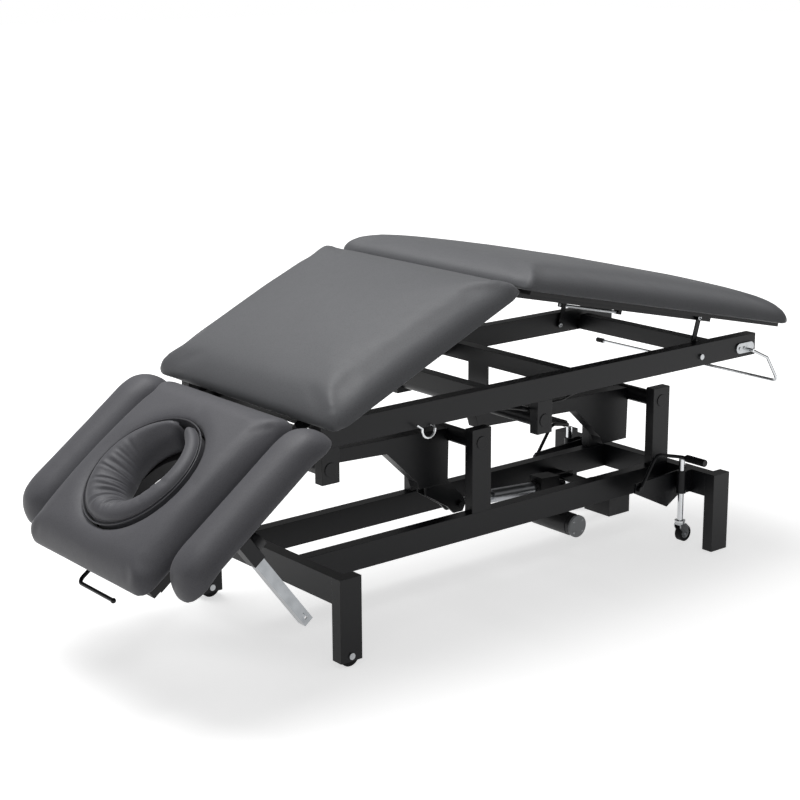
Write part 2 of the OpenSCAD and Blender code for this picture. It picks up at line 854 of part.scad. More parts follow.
module leg_frame() {
  color("#2b2b2d") at_leg() {
    section_rails(rail_free, leg_l + rail_past, srail_y0, srail_y1);
    both_sides() {
      rod_y(0, head_rail_y0, head_rail_y1, 0, pivot_pad);
      rod_y(0, head_rail_y1 - over, srail_y1, 0, shaft_d - run * 2);
      block(0, srail_w, head_rail_y0, head_rail_y1, -srail_h / 2, srail_h / 2);
      rod_y(leg_l, srail_y1 - wall, strut_y0 + strut_t + gap, 0, shaft_d - run * 2);
      rod_y(leg_l, strut_y0 + strut_t + gap, strut_y0 + strut_t + gap + bolt_thin, 0, strut_bolt_d, low);
    }
    for (x = [srail_w, spring_x0, spring_x1])
      tube_y(x, x + srail_w, -srail_y0, srail_y0, -srail_h / 2, srail_h / 2, wall);
    for (x = [spring_x0, spring_x1]) difference() {
      block(x, x + srail_w / 2, -release_d, release_d, -spring_drop - lug_lip, -srail_h / 2);
      rod_x(x - over, x + srail_w, 0, -spring_drop, release_d, low);
    }
  }
}

module leg_panel() {
  color("#3a2f26") at_leg() block(back_short + panel_in, leg_l + leg_over - panel_in,
    panel_in - pad_w / 2, pad_w / 2 - panel_in, srail_h / 2, plane);
}

module leg_cushion() {
  color("#3d3d3f") at_leg() translate([0, 0, plane])
    cushion(back_short, leg_l + leg_over, pad_w, pad_r, roll_w, pad_t, crown);
}

module release_rod() {
  color("#a9abad") at_leg() rod_x(spring_x0, spring_x1 + srail_w / 2, 0, -spring_drop, release_d, low);
}

strut_w = 14;

module swing_struts() {
  dx = strut_low_x - strut_x;
  dz = strut_low_z - strut_z;
  color("#2b2b2d") both_sides() translate([strut_x, 0, strut_z]) rotate([0, -atan2(dz, dx), 0]) {
    difference() {
      union() {
        rod_y(0, strut_y0, strut_y0 + strut_t, 0, strut_w);
        rod_y(norm([dx, dz]), strut_y0, strut_y0 + strut_t, 0, strut_w);
        block(0, norm([dx, dz]), strut_y0, strut_y0 + strut_t, -strut_w / 2, strut_w / 2);
      }
      rod_y(0, strut_y0 - over, strut_y0 + strut_t + over, 0, shaft_d);
    }
  }
}

// head section
head_front = head_back + head_l;
hole_x = -head_back - hole_at;

handle_w = 144;
handle_d = 9;
handle_out = 14;
handle_r = 14;
handle_low = 12;
handle_eye_d = 16;
handle_shaft_d = 8;
handle_lug_t = 4;
handle_lug_gap = 1;
handle_ball_share = 1.3;
head_end = head_front - panel_in * 2;
handle_px = -head_end + srail_w / 2;
handle_z = -srail_h / 2 - handle_low;
handle_lug_y = handle_w / 2 + handle_d / 2 + handle_lug_gap;
handle_far_y = handle_w / 2 - handle_d - handle_lug_gap;

module head_frame() {
  color("#2b2b2d") at_head() {
    difference() {
      section_rails(-head_end, -rail_start * rail_lap_share, head_rail_y0, head_rail_y1);
      both_sides() rod_y(0, head_rail_y0 - over, head_rail_y1 + over, 0, pivot_pad - weld_lap);
    }
    pivot_block(0, head_rail_y0, head_rail_y1, shaft_d);
    for (x = [-head_back - srail_w * 2, -head_end])
      tube_y(x, x + srail_w, -head_rail_y0, head_rail_y0, -srail_h / 2, srail_h / 2, wall);
    rod_y(handle_px, handle_far_y - handle_lug_t, handle_lug_y + handle_lug_t, handle_z,
      handle_shaft_d - run * 2);
    for (y = [handle_far_y - handle_lug_t, handle_lug_y])
      block(handle_px - handle_shaft_d, handle_px + handle_shaft_d, y, y + handle_lug_t,
        handle_z - handle_shaft_d, -srail_h / 2);
  }
}

strip_in = 4;
board_hole_over = 34;
head_top_z = plane + head_rise;

module head_panel() {
  color("#3a2f26") at_head() difference() {
    block(panel_in - head_front, strip_in - head_back, panel_in - head_w / 2, head_w / 2 - panel_in,
      srail_h / 2, head_top_z);
    translate([hole_x, 0, srail_h / 2 - over]) scale([hole_l / hole_w, 1, 1])
      cylinder(d = hole_w + board_hole_over, h = panel_t + head_rise + over * 2, $fn = fine);
  }
}

// outline with points along its straight sides as well
side_n = 6;
function long_sides(p) = [for (i = [0:len(p) - 1]) let(a = p[i], b = p[(i + 1) % len(p)],
  m = (i + 1) % (round_n + 1) == 0 ? side_n : 1) for (k = [0:m - 1]) a + (b - a) * k / m];

// head cushion: rows run up the outer side, over the top and down into the ring's recess
rim_in_share = [0.12, 0.05, 0.01, 0, 0, 0.02];
rim_up_share = [1, 0.985, 0.95, 0.85, 0.1, 0];
rim_w = 40;

// the head cushion swells along its length: full in the middle, plain at the ends
function arched(x, z) = let(s = (x + head_back + head_l / 2) * 2 / head_l)
  z * (1 + head_arch / pad_t * max(1 - s * s, 0));

function around_hole(pts, l, w, h) = [for (p = pts)
  let(a = atan2(p[1] / ring_w, (p[0] - hole_x) / ring_l), x = hole_x + l / 2 * cos(a))
  [x, w / 2 * sin(a), arched(x, h)]];

module head_cushion() {
  base = long_sides(rr_pts(-head_front, -head_back, head_w, pad_r, 0));
  side = [for (e = edge_rows) [for (p = long_sides(rr_pts(-head_front, -head_back, head_w, pad_r,
    head_roll * e[0]))) [p[0], p[1], arched(p[0], pad_t * e[1])]]];
  rim = [for (i = [0:len(rim_up_share) - 1]) let(g = ring_gap + rim_w * rim_in_share[i])
    around_hole(base, ring_l + g * 2, ring_w + g * 2, pad_t * rim_up_share[i])];
  color("#3d3d3f") at_head() translate([0, 0, head_top_z]) hoop(concat(side, rim));
}

// face ring: a fat roll that slopes into the opening, gathered at the head end
pleat_n = 12;
pleat_deep = 3;
ring_n = 84;
ring_h = pad_t + ring_rise;
ring_rows_share = [[0.04, 0], [0, 0.1], [0, 0.6], [0.03, 0.82], [0.12, 0.95], [0.28, 1], [0.46, 0.97],
  [0.64, 0.87], [0.8, 0.72], [0.92, 0.52], [1, 0.3], [1, 0.1], [0.96, 0]];
function pleat_at(u, a) = pleat_deep * (0.5 - 0.5 * cos(a * pleat_n * 2)) * sin(180 * min(u, 1))
  * sqrt(max(-cos(a), 0));
ring_split_a = 7;
ring_taper_a = 100;
ring_tip_a = 9;
ring_tip_share = 0.42;
ring_tip_low_share = 0.25;
function from_split(a) = min(a, 360 - a) - ring_split_a;
function ring_taper(a) = pow(min(1, from_split(a) / ring_taper_a), 0.8);
function ring_thick(a) = ring_tip_share + (1 - ring_tip_share) * ring_taper(a);
function ring_round(a) = let(k = min(1, from_split(a) / ring_tip_a)) sqrt(max(k * (2 - k), 0));

// one point of the ring: a around the opening, r[0] from the outer edge in, r[1] from the board up
function ring_pt(a, r) = let(q = ring_round(a), k = ring_thick(a), u = 0.5 + (r[0] - 0.5) * q,
  v = 0.5 + (r[1] - 0.5) * (ring_tip_low_share + (1 - ring_tip_low_share) * q),
  x = hole_x + (ring_l / 2 - (ring_l - hole_l) / 2 * k * u) * cos(a))
  [x, (ring_w / 2 - (ring_w - hole_w) / 2 * k * u) * sin(a),
    r[1] == 0 && q == 1 ? gap : arched(x, gap + (ring_h - gap) * v) - pleat_at(r[0], a) * min(v, q)];

module face_ring() {
  turn = 360 - ring_split_a * 2;
  stops = concat([for (i = [1:4]) ring_split_a + ring_tip_a * i * i / 25],
    [for (i = [0:ring_n]) ring_split_a + ring_tip_a + (turn - ring_tip_a * 2) * i / ring_n],
    [for (i = [4:-1:1]) 360 - ring_split_a - ring_tip_a * i * i / 25]);
  rings = [for (i = [len(stops) - 1:-1:0]) [for (r = ring_rows_share) ring_pt(stops[i], r)]];
  color("#38383a") at_head() translate([0, 0, head_top_z])
    skin(rings, ring_pt(360 - ring_split_a, [0.5, 0.5]), ring_pt(ring_split_a, [0.5, 0.5]));
}

hx = -head_front - handle_out;
handle_in = handle_px - handle_eye_d * 3 / 8;
handle_pts = concat([[hx, -handle_w / 2, handle_z]],
  bend([hx, 0, handle_z], [hx, handle_w / 2, handle_z], [handle_px, handle_w / 2, handle_z], handle_r, 6),
  [[handle_in, handle_w / 2, handle_z]]);

module head_handle() {
  color("#202022") at_head() {
    swept(handle_pts, handle_d, up_dir);
    translate([hx, -handle_w / 2, handle_z]) sphere(d = handle_d * handle_ball_share, $fn = low);
    pipe_y(handle_px, handle_w / 2 - handle_d, handle_w / 2 + handle_d / 2, handle_z,
      handle_eye_d, handle_shaft_d);
  }
}

// armrests
post_x_at = -head_back - post_at;
sleeve_w = post_s + wall * 3;
sleeve_h = 60;
knob_stem_d = 9;
sleeve_top = srail_h / 2;
arm_bar_h = 10;

module rest_sleeves() {
  color("#202022") at_head() both_sides() difference() {
    union() {
      translate([post_x_at - sleeve_w / 2, rest_y - sleeve_w / 2, sleeve_top - sleeve_h])
        cube([sleeve_w, sleeve_w, sleeve_h]);
      block(post_x_at - sleeve_w / 2, post_x_at + sleeve_w / 2, head_rail_y1, rest_y - sleeve_w / 2,
        -srail_h / 2, arm_bar_h - srail_h / 2);
    }
    translate([post_x_at - post_s / 2, rest_y - post_s / 2, sleeve_top - sleeve_h - over])
      cube([post_s, post_s, sleeve_h + over * 2]);
    translate([post_x_at, rest_y, sleeve_top - sleeve_h / 2]) rotate([0, 90, 0])
      cylinder(d = knob_stem_d, h = sleeve_w, $fn = low);
  }
}

rest_plate_t = 4;

rest_slot_w = 6;
rest_slot_l = 16;
rest_slot_up = 12;

module rest_tube() {
  foot = head_top_z - rest_plate_t - post_l;
  difference() {
    union() {
      translate([post_x_at - post_s / 2 + run, rest_y - post_s / 2 + run, foot])
        cube([post_s - run * 2, post_s - run * 2, post_l]);
      translate([post_x_at - post_s * 2, rest_y - post_s, head_top_z - rest_plate_t])
        cube([post_s * 4, post_s * 2, rest_plate_t]);
    }
    translate([post_x_at - post_s / 2 + wall, rest_y - post_s / 2 + wall, foot - over])
      cube([post_s - wall * 2, post_s - wall * 2, post_l]);
    translate([post_x_at - rest_slot_w / 2, rest_y - post_s, foot + rest_slot_up])
      cube([rest_slot_w, post_s * 2, rest_slot_l]);
  }
}

module near_rest_tube() {
  color("#c9ccce") at_head() mirror([0, 1, 0]) rest_tube();
}

module far_rest_tube() {
  color("#c9ccce") at_head() rest_tube();
}

knob_d = 34;
knob_l = 20;

module rest_knob() {
  translate([post_x_at + post_s / 2 + run, rest_y, sleeve_top - sleeve_h / 2]) rotate([0, 90, 0]) {
    cylinder(d = knob_stem_d - run * 2, h = knob_l / 2, $fn = low);
    translate([0, 0, wall * 3 / 2 + gap]) cylinder(d = knob_d, h = knob_l, $fn = mid);
  }
}

module near_rest_knob() {
  color("#18181a") at_head() mirror([0, 1, 0]) rest_knob();
}

module far_rest_knob() {
  color("#18181a") at_head() rest_knob();
}

rest_round_n = 10;
rest_side_n = 16;
rest_lead = 8;
rest_cx = -head_back + rest_lead - rest_l / 2;
rest_flat_share = 0.29;
rest_flat = rest_l * rest_flat_share;

// armrest outline drawn in by d: straight sides and round ends
function rest_pts(d) = let(h = rest_w / 2 - d, e = rest_l / 2 - rest_w / 2)
  concat([for (i = [0:rest_side_n]) [rest_cx + e - 2 * e * i / rest_side_n, rest_y + h]],
    [for (i = [1:rest_round_n - 1]) let(a = 90 + 180 * i / rest_round_n)
      [rest_cx - e + h * cos(a), rest_y + h * sin(a)]],
    [for (i = [0:rest_side_n]) [rest_cx - e + 2 * e * i / rest_side_n, rest_y - h]],
    [for (i = [1:rest_round_n - 1]) let(a = -90 + 180 * i / rest_round_n)
      [rest_cx + e + h * cos(a), rest_y + h * sin(a)]]);

// the ends of the cushion droop, its middle lies flat on the plate
function droop(x) = let(s = max(abs(x - rest_cx) - rest_flat, 0) / (rest_l / 2 - rest_flat))
  rest_bow * s * s;

// flat strips across a ring of points, each joined to the point facing it
function strip_faces(n, row, turned) = let(sum = rest_side_n * 2 + rest_round_n, half = rest_round_n / 2)
  [for (i = [n - half:n + rest_side_n + half - 1]) for (k = [0:1])
    let(a = row * n + i % n, b = row * n + (i + 1) % n, c = row * n + (sum + n - i + n) % n,
      d = row * n + (sum + n - i - 1 + n) % n)
    if (k == 0 ? a != c : b != d) k == 0 ? (turned ? [a, b, c] : [b, a, c])
      : (turned ? [b, d, c] : [b, c, d])];

module armrest() {
  rings = [for (e = edge_rows) [for (p = rest_pts(rest_roll * e[0]))
    [p[0], p[1], pad_t * e[1] - droop(p[0])]]];
  n = len(rings[0]);
  m = len(rings);
  polyhedron(points = [for (r = rings) for (p = r) p],
    faces = concat(ring_faces(n, m), strip_faces(n, 0, true), strip_faces(n, m - 1, false)));
}

module near_armrest() {
  color("#3d3d3f") at_head() translate([0, 0, head_top_z + run]) mirror([0, 1, 0]) armrest();
}

module far_armrest() {
  color("#3d3d3f") at_head() translate([0, 0, head_top_z + run]) armrest();
}

// casters
sleeve_z1 = base_top + run;
sleeve_z0 = sleeve_z1 - sleeve_l;
axle_z = caster_up + caster_d / 2;
yoke_gap = 3;
yoke_t = 3;
fork_t = 2.5;
side_gap = 1;
fork_top = axle_z + caster_d / 2 + yoke_gap + yoke_t;
caster_rise = 31;
caster_top = base_top + caster_rise;
swivel_d = 28;
swivel_h = 9;
flange_t = 3;
stub_d = 7;
axle_d = 7;
trail = 12;
cheek = 9;

module caster_sleeves() {
  color("#202022") both_sides() difference() {
    union() {
      translate([caster_x, caster_y, sleeve_z0]) cylinder(d = sleeve_d, h = sleeve_l, $fn = fine);
      block(caster_x, foot_beam_x, caster_y - sleeve_d / 3, caster_y + sleeve_d / 3, sleeve_z0, base_top);
    }
    translate([caster_x, caster_y, sleeve_z0 - over])
      cylinder(d = caster_tube_d, h = sleeve_l + over * 2, $fn = fine);
  }
}

lever_reach = 135;
lever_x = caster_x - lever_reach;
lever_z = 176;
plate_in = 19;
plate_y = caster_y - plate_in;
bracket_w = 5;
bracket_lap = 14;
bracket_run = 104;
bracket_drop = 68;
bracket_foot = 10;
bracket_pts = [[lever_x - bracket_lap, lever_z - bracket_foot],
  [lever_x + bracket_run, lever_z - bracket_drop], [foot_beam_x, base_low],
  [foot_beam_x, base_top - wall * 2], [lever_x - bracket_foot, lever_z + bracket_lap]];

module caster_brackets() {
  color("#232325") both_sides() difference() {
    plate_xz(bracket_pts, plate_y - bracket_w, plate_y);
    rod_y(lever_x, plate_y - bracket_w * 2, plate_y + bracket_w, lever_z, shaft_d);
  }
}

lever_d = 9;
lever_y = plate_y + lever_d / 2 + gap;
lever_knee = 56;
lever_over = 18;
lever_bow = 22;
lever_hub_d = 15;
grip_d = 17;
grip_l = 62;
grip_at = 14;
press_z = caster_top + lever_d / 2 + gap;
knee_pt = [lever_x + lever_knee, lever_y, press_z + lever_over];
press_pt = [caster_x, caster_y, press_z];
lever_pts = concat([[lever_x, lever_y, lever_z]],
  bend([lever_x, lever_y, lever_z], knee_pt, [caster_x, caster_y, press_z], lever_bow, 5),
  bend(knee_pt, press_pt, [caster_x, by, press_z], grip_at, 5),
  [[caster_x, caster_y + grip_at + lever_d, press_z]]);

module lever() {
  swept(lever_pts, lever_d, lean);
  rod_y(lever_x, plate_y - bracket_w, plate_y + gap, lever_z, shaft_d - run * 2, mid);
  rod_y(lever_x, plate_y + gap, plate_y + gap + lever_d, lever_z, lever_hub_d, mid);
  rod_y(caster_x, caster_y + grip_at, caster_y + grip_at + grip_l, press_z, grip_d, mid);
}

module near_lever() {
  color("#1f1f20") mirror([0, 1, 0]) lever();
}

module far_lever() {
  color("#1f1f20") lever();
}

module caster_tube() {
  translate([caster_x, caster_y, fork_top + swivel_h]) {
    cylinder(d = caster_tube_d - run * 2, h = caster_top - fork_top - swivel_h, $fn = fine);
    translate([0, 0, -flange_t]) cylinder(d = swivel_d, h = flange_t, $fn = mid);
    translate([0, 0, -swivel_h + gap]) cylinder(d = stub_d - run * 2, h = swivel_h, $fn = mid);
  }
}

module near_caster_tube() {
  color("#c9ccce") mirror([0, 1, 0]) caster_tube();
}

module far_caster_tube() {
  color("#c9ccce") caster_tube();
}

fork_in = caster_w / 2 + side_gap;
fork_pts = [[-cheek, fork_top], [-cheek, fork_top - yoke_t * 3], [trail - cheek, axle_z],
  [trail, axle_z - cheek], [trail + cheek, axle_z], [trail + cheek, fork_top - yoke_t * 3], [trail, fork_top]];

module fork() {
  difference() {
    union() {
      translate([caster_x, caster_y, 0]) both_sides() plate_xz(fork_pts, fork_in, fork_in + fork_t);
      block(caster_x - cheek, caster_x + trail, caster_y - fork_in - fork_t, caster_y + fork_in + fork_t,
        fork_top - yoke_t, fork_top);
      translate([caster_x, caster_y, fork_top])
        cylinder(d = swivel_d - wall, h = swivel_h - flange_t - gap, $fn = mid);
      rod_y(caster_x + trail, caster_y - fork_in - fork_t * 2, caster_y + fork_in + fork_t * 2, axle_z,
        axle_d - run * 2, mid);
    }
    translate([caster_x, caster_y, fork_top - yoke_t - over])
      cylinder(d = stub_d, h = swivel_h + yoke_t + over, $fn = mid);
  }
}

module near_fork() {
  color("#c9ccce") mirror([0, 1, 0]) fork();
}

module far_fork() {
  color("#c9ccce") fork();
}

module caster_wheel() {
  pipe_y(caster_x + trail, caster_y - caster_w / 2, caster_y + caster_w / 2, axle_z, caster_d, axle_d);
}

module near_caster_wheel() {
  color("#1a1a1b") mirror([0, 1, 0]) caster_wheel();
}

module far_caster_wheel() {
  color("#1a1a1b") caster_wheel();
}

// roll holder and lead
roll_stub = 16;
roll_y0 = -top_y1 - roll_plate_t - roll_stub;
roll_y1 = -roll_l / 2;
roll_mid_share = [0.6, 0.5, 0.26];
roll_r = 12;
roll_start = [roll_x, roll_y0 + roll_d / 2, roll_z];
roll_end = [roll_x + roll_out, roll_y1, roll_z - roll_drop];
roll_mid = [for (i = [0:2]) roll_start[i] + (roll_end[i] - roll_start[i]) * roll_mid_share[i]];
roll_pts = concat([roll_start, roll_mid],
  bend(roll_mid, roll_end, [roll_end[0], 0, roll_end[2]], roll_r, 5),
  [[roll_end[0], roll_l / 2, roll_end[2]]]);

module roll_rod() {
  color("#c9ccce") {
    rod_y(roll_x, roll_y0, -top_y1 - run * 2, roll_z, roll_d - run * 2);
    swept(roll_pts, roll_d - run * 4, lean);
    rod_y(roll_end[0], roll_l / 2 - roll_stub, roll_l / 2 + roll_d, roll_end[2], roll_d * 3 / 2, mid);
  }
}

lead_d = 6;
lead_pts = [[motor_x + 40, -40, 133], [motor_x + 60, -46, 128], [motor_x + 84, -52, 120],
  [box_x - 12, -58, 116], [box_x - gap, -60, 116]];

module motor_lead() {
  color("#18181a") swept(lead_pts, lead_d, level, 8);
}

// the whole part, moved so that the origin lies under the middle of its length
tip_share = 0.8;
far_end = roll_x + roll_out + roll_d / 2;
head_tip = hinge_x - head_front * cos(head_tilt) - (plane + pad_t * tip_share) * sin(head_tilt);
middle = round((far_end + head_tip) / 2);

module placed() {
  translate([-middle, 0, 0]) children();
}

// draw
placed() base_rails();
placed() base_crossbeams();
placed() head_posts();
placed() foot_posts();
placed() uprights();
placed() lift_pivot_pins();
placed() cross_plate();
placed() control_box();
placed() head_wheel_bolts();
placed() near_head_wheel();
placed() far_head_wheel();
placed() front_arm();
placed() front_torque_tubes();
placed() rear_arm();
placed() rear_torque_tubes();
placed() gear_motor();
placed() motor_cap();
placed() drive_rod();
placed() upper_rails();
placed() upper_crossbars();
placed() rail_plugs();
placed() frame_tabs();
placed() tab_pins();
placed() frame_pins();
placed() drive_tube();
placed() cable_hook();
placed() roll_plate();
placed() lift_cable();
placed() back_frame();
placed() back_panel();
placed() back_cushion();
placed() leg_frame();
placed() leg_panel();
placed() leg_cushion();
placed() release_rod();
placed() swing_struts();
placed() head_frame();
placed() head_panel();
placed() head_cushion();
placed() face_ring();
placed() head_handle();
placed() rest_sleeves();
placed() near_armrest();
placed() near_rest_tube();
placed() near_rest_knob();
placed() far_armrest();
placed() far_rest_tube();
placed() far_rest_knob();
placed() caster_sleeves();
placed() caster_brackets();
placed() near_lever();
placed() far_lever();
placed() near_caster_tube();
placed() far_caster_tube();
placed() near_fork();
placed() far_fork();
placed() near_caster_wheel();
placed() far_caster_wheel();
placed() roll_rod();
placed() motor_lead();
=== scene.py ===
import bpy, bmesh, math, random
from mathutils import Matrix, Vector, noise


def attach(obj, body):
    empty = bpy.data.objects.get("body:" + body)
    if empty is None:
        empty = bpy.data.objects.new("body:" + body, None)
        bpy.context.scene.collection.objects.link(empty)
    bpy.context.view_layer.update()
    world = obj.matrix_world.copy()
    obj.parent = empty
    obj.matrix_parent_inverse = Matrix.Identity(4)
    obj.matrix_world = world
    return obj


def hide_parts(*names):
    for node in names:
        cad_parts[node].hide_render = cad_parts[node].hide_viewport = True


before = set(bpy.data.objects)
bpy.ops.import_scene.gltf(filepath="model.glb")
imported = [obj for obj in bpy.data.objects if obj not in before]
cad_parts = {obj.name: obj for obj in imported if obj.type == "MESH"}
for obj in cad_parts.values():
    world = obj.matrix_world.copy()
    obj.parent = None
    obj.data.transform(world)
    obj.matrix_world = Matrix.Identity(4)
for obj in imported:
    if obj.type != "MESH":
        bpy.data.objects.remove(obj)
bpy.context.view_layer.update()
scene = bpy.context.scene
mm = 0.001

# camera
cameraSetup = {
    "place": (-2.5458, -3.0632, 1.4877),  # metres
    "yaw": 50.995, "pitch": -14.454, "roll": -0.299,  # degrees
    "lens": 79.03, "sensor": 36.0,  # mm
}


def addCamera(values):
    yaw, pitch, roll = (math.radians(values[k]) for k in ("yaw", "pitch", "roll"))
    ahead = Vector((math.cos(pitch) * math.cos(yaw), math.cos(pitch) * math.sin(yaw), math.sin(pitch)))
    side = Vector((math.sin(yaw), -math.cos(yaw), 0))
    up = side.cross(ahead)
    turned = side * math.cos(roll) + up * math.sin(roll)
    up = turned.cross(ahead)
    data = bpy.data.cameras.new("photoCamera")
    data.lens, data.sensor_width = values["lens"], values["sensor"]
    data.clip_end = 60
    camera = bpy.data.objects.new("photoCamera", data)
    scene.collection.objects.link(camera)
    camera.matrix_world = Matrix.Translation(values["place"]) @ Matrix(
        (turned, up, -ahead)).transposed().to_4x4()
    scene.camera = camera


addCamera(cameraSetup)
print("camera placed")

# small helpers


def paint(hexColour, alpha=1.0):
    # sRGB hex to the linear colour that Blender works in
    parts = [int(hexColour[i:i + 2], 16) / 255 for i in (1, 3, 5)]
    return tuple(c / 12.92 if c <= 0.04045 else ((c + 0.055) / 1.055) ** 2.4 for c in parts) + (alpha,)


def addNode(tree, kind, settings=None, inputs=None):
    made = tree.nodes.new(kind)
    for name, value in (settings or {}).items():
        setattr(made, name, value)
    for key, value in (inputs or {}).items():
        socket = made.inputs[key]
        if isinstance(value, bpy.types.NodeSocket):
            tree.links.new(value, socket)
        else:
            socket.default_value = value
    return made


def newObject(name, mesh):
    obj = bpy.data.objects.new(name, mesh)
    scene.collection.objects.link(obj)
    return obj


def meshOf(name, points, faces, smooth=True):
    mesh = bpy.data.meshes.new(name)
    mesh.from_pydata([tuple(p) for p in points], [], faces)
    build = bmesh.new()
    build.from_mesh(mesh)
    bmesh.ops.remove_doubles(build, verts=build.verts, dist=1e-6)
    bmesh.ops.recalc_face_normals(build, faces=build.faces)
    for face in build.faces:
        face.smooth = smooth
    build.to_mesh(mesh)
    build.free()
    return mesh


def bakeModifiers(obj):
    # the evaluated shape becomes a plain mesh and the modifiers go
    evaluated = obj.evaluated_get(bpy.context.evaluated_depsgraph_get())
    mesh = bpy.data.meshes.new_from_object(evaluated)
    obj.modifiers.clear()
    old, obj.data = obj.data, mesh
    mesh.name = obj.name
    if old.users == 0:
        bpy.data.meshes.remove(old)
    for poly in mesh.polygons:
        poly.use_smooth = True


# materials


def startFinish(name):
    # a new material, its node tree and object coordinates in millimetres
    material = bpy.data.materials.new(name)
    material.use_nodes = True
    tree = material.node_tree
    tree.nodes.clear()
    place = addNode(tree, "ShaderNodeTexCoord")
    inMm = addNode(tree, "ShaderNodeMapping", None, {
        "Vector": place.outputs["Object"], "Scale": (1 / mm, 1 / mm, 1 / mm)})
    return material, tree, inMm.outputs["Vector"]


def endFinish(material, tree, inputs):
    surface = addNode(tree, "ShaderNodeBsdfPrincipled", None, inputs)
    addNode(tree, "ShaderNodeOutputMaterial", None, {"Surface": surface.outputs["BSDF"]})
    material.diffuse_color = (0.2, 0.2, 0.2, 1)
    return material


def blendOf(tree, factor, first, second):
    ramp = addNode(tree, "ShaderNodeMix", {"data_type": "RGBA"}, {0: factor})
    ramp.inputs[6].default_value = first
    ramp.inputs[7].default_value = second
    return ramp.outputs[2]


def rangeOf(tree, value, low, high, fromLow=0.0, fromHigh=1.0):
    return addNode(tree, "ShaderNodeMapRange", None, {
        "Value": value, "From Min": fromLow, "From Max": fromHigh,
        "To Min": low, "To Max": high}).outputs["Result"]


def noiseOf(tree, place, size, detail, rough=0.5):
    # noise with features about size mm wide
    return addNode(tree, "ShaderNodeTexNoise", None, {
        "Vector": place, "Scale": 1 / size, "Detail": detail, "Roughness": rough})


def bumpOf(tree, height, strength, depth, normal=None):
    # depth in millimetres
    inputs = {"Height": height, "Strength": strength, "Distance": depth * mm}
    if normal:
        inputs["Normal"] = normal
    return addNode(tree, "ShaderNodeBump", None, inputs).outputs["Normal"]


def powderCoat(name, values):
    # baked polyester film: satin, with a fine orange peel; the tube's edges catch a soft line of light
    material, tree, inMm = startFinish(name)
    cloudy = noiseOf(tree, inMm, values["cloud"], 3.0)
    peel = noiseOf(tree, inMm, values["peel"], 2.0)
    rounded = addNode(tree, "ShaderNodeBevel", {"samples": 4}, {"Radius": values["edge"] * mm})
    bumpy = bumpOf(tree, peel.outputs["Fac"], 0.25, 0.3, rounded.outputs["Normal"])
    return endFinish(material, tree, {
        "Base Color": blendOf(tree, cloudy.outputs["Fac"], paint(values["dark"]), paint(values["light"])),
        "Roughness": rangeOf(tree, peel.outputs["Fac"], values["rough"] - 0.06, values["rough"] + 0.08),
        "Specular IOR Level": values["specular"], "Normal": bumpy})


def coatedLeather(name, values):
    # polyurethane-coated fabric: matt pebbled grain with painted shade in its low spots, tiny creases, a
    # faint sheen along the rolls
    material, tree, inMm = startFinish(name)
    # real pebbles are about 1 mm; drawn at 2.6 mm, as coarse as they need to show at this distance
    pebbles = addNode(tree, "ShaderNodeTexVoronoi", {"feature": "SMOOTH_F1"}, {
        "Vector": inMm, "Scale": 1 / values["pebble"], "Smoothness": 0.6})
    creases = noiseOf(tree, inMm, values["crease"], 5.0, 0.6)
    worn = noiseOf(tree, inMm, values["patch"], 4.0)
    grain = bumpOf(tree, pebbles.outputs["Distance"], 0.22, 0.5)
    hide = bumpOf(tree, creases.outputs["Fac"], 0.16, 1.6, grain)
    base = blendOf(tree, worn.outputs["Fac"], paint(values["dark"]), paint(values["light"]))
    # painted shade: the low spots of the grain are mixed towards the darker pit colour
    pitShadeMask = rangeOf(tree, pebbles.outputs["Distance"], 0.0, 0.35, 0.35, 0.8)
    mixed = addNode(tree, "ShaderNodeMix", {"data_type": "RGBA"}, {
        0: pitShadeMask, 6: base, 7: paint(values["pitShade"])})
    return endFinish(material, tree, {
        "Base Color": mixed.outputs[2],
        "Roughness": rangeOf(tree, creases.outputs["Fac"], values["rough"] - 0.07, values["rough"] + 0.09),
        "Specular IOR Level": 0.4, "Sheen Weight": 0.12, "Sheen Roughness": 0.45,
        "Normal": hide})


def platedMetal(name, values):
    # plated or drawn metal: long fine drawing lines along one axis, a little cloudiness
    material, tree, inMm = startFinish(name)
    along = addNode(tree, "ShaderNodeMapping", None, {"Vector": inMm, "Scale": values["stretch"]})
    lines = noiseOf(tree, along.outputs["Vector"], values["line"], 3.0)
    haze = noiseOf(tree, inMm, values["haze"], 2.0)
    bumpy = bumpOf(tree, lines.outputs["Fac"], values["bump"], 0.1)
    return endFinish(material, tree, {
        "Base Color": blendOf(tree, haze.outputs["Fac"], paint(values["dark"]), paint(values["light"])),
        "Metallic": 1.0,
        "Roughness": rangeOf(tree, lines.outputs["Fac"], values["rough"] * 0.7, values["rough"] * 1.3),
        "Normal": bumpy})


def mouldedPolymer(name, values):
    # moulded plastic or rubber: fine spark-eroded texture from the tool
    material, tree, inMm = startFinish(name)
    spark = noiseOf(tree, inMm, values["grain"], 2.0)
    cloudy = noiseOf(tree, inMm, values["cloud"], 2.0)
    bumpy = bumpOf(tree, spark.outputs["Fac"], 0.3, 0.2)
    return endFinish(material, tree, {
        "Base Color": blendOf(tree, cloudy.outputs["Fac"], paint(values["dark"]), paint(values["light"])),
        "Roughness": rangeOf(tree, cloudy.outputs["Fac"], values["rough"] - 0.05, values["rough"] + 0.08),
        "Specular IOR Level": values["specular"],
        "Normal": bumpy})


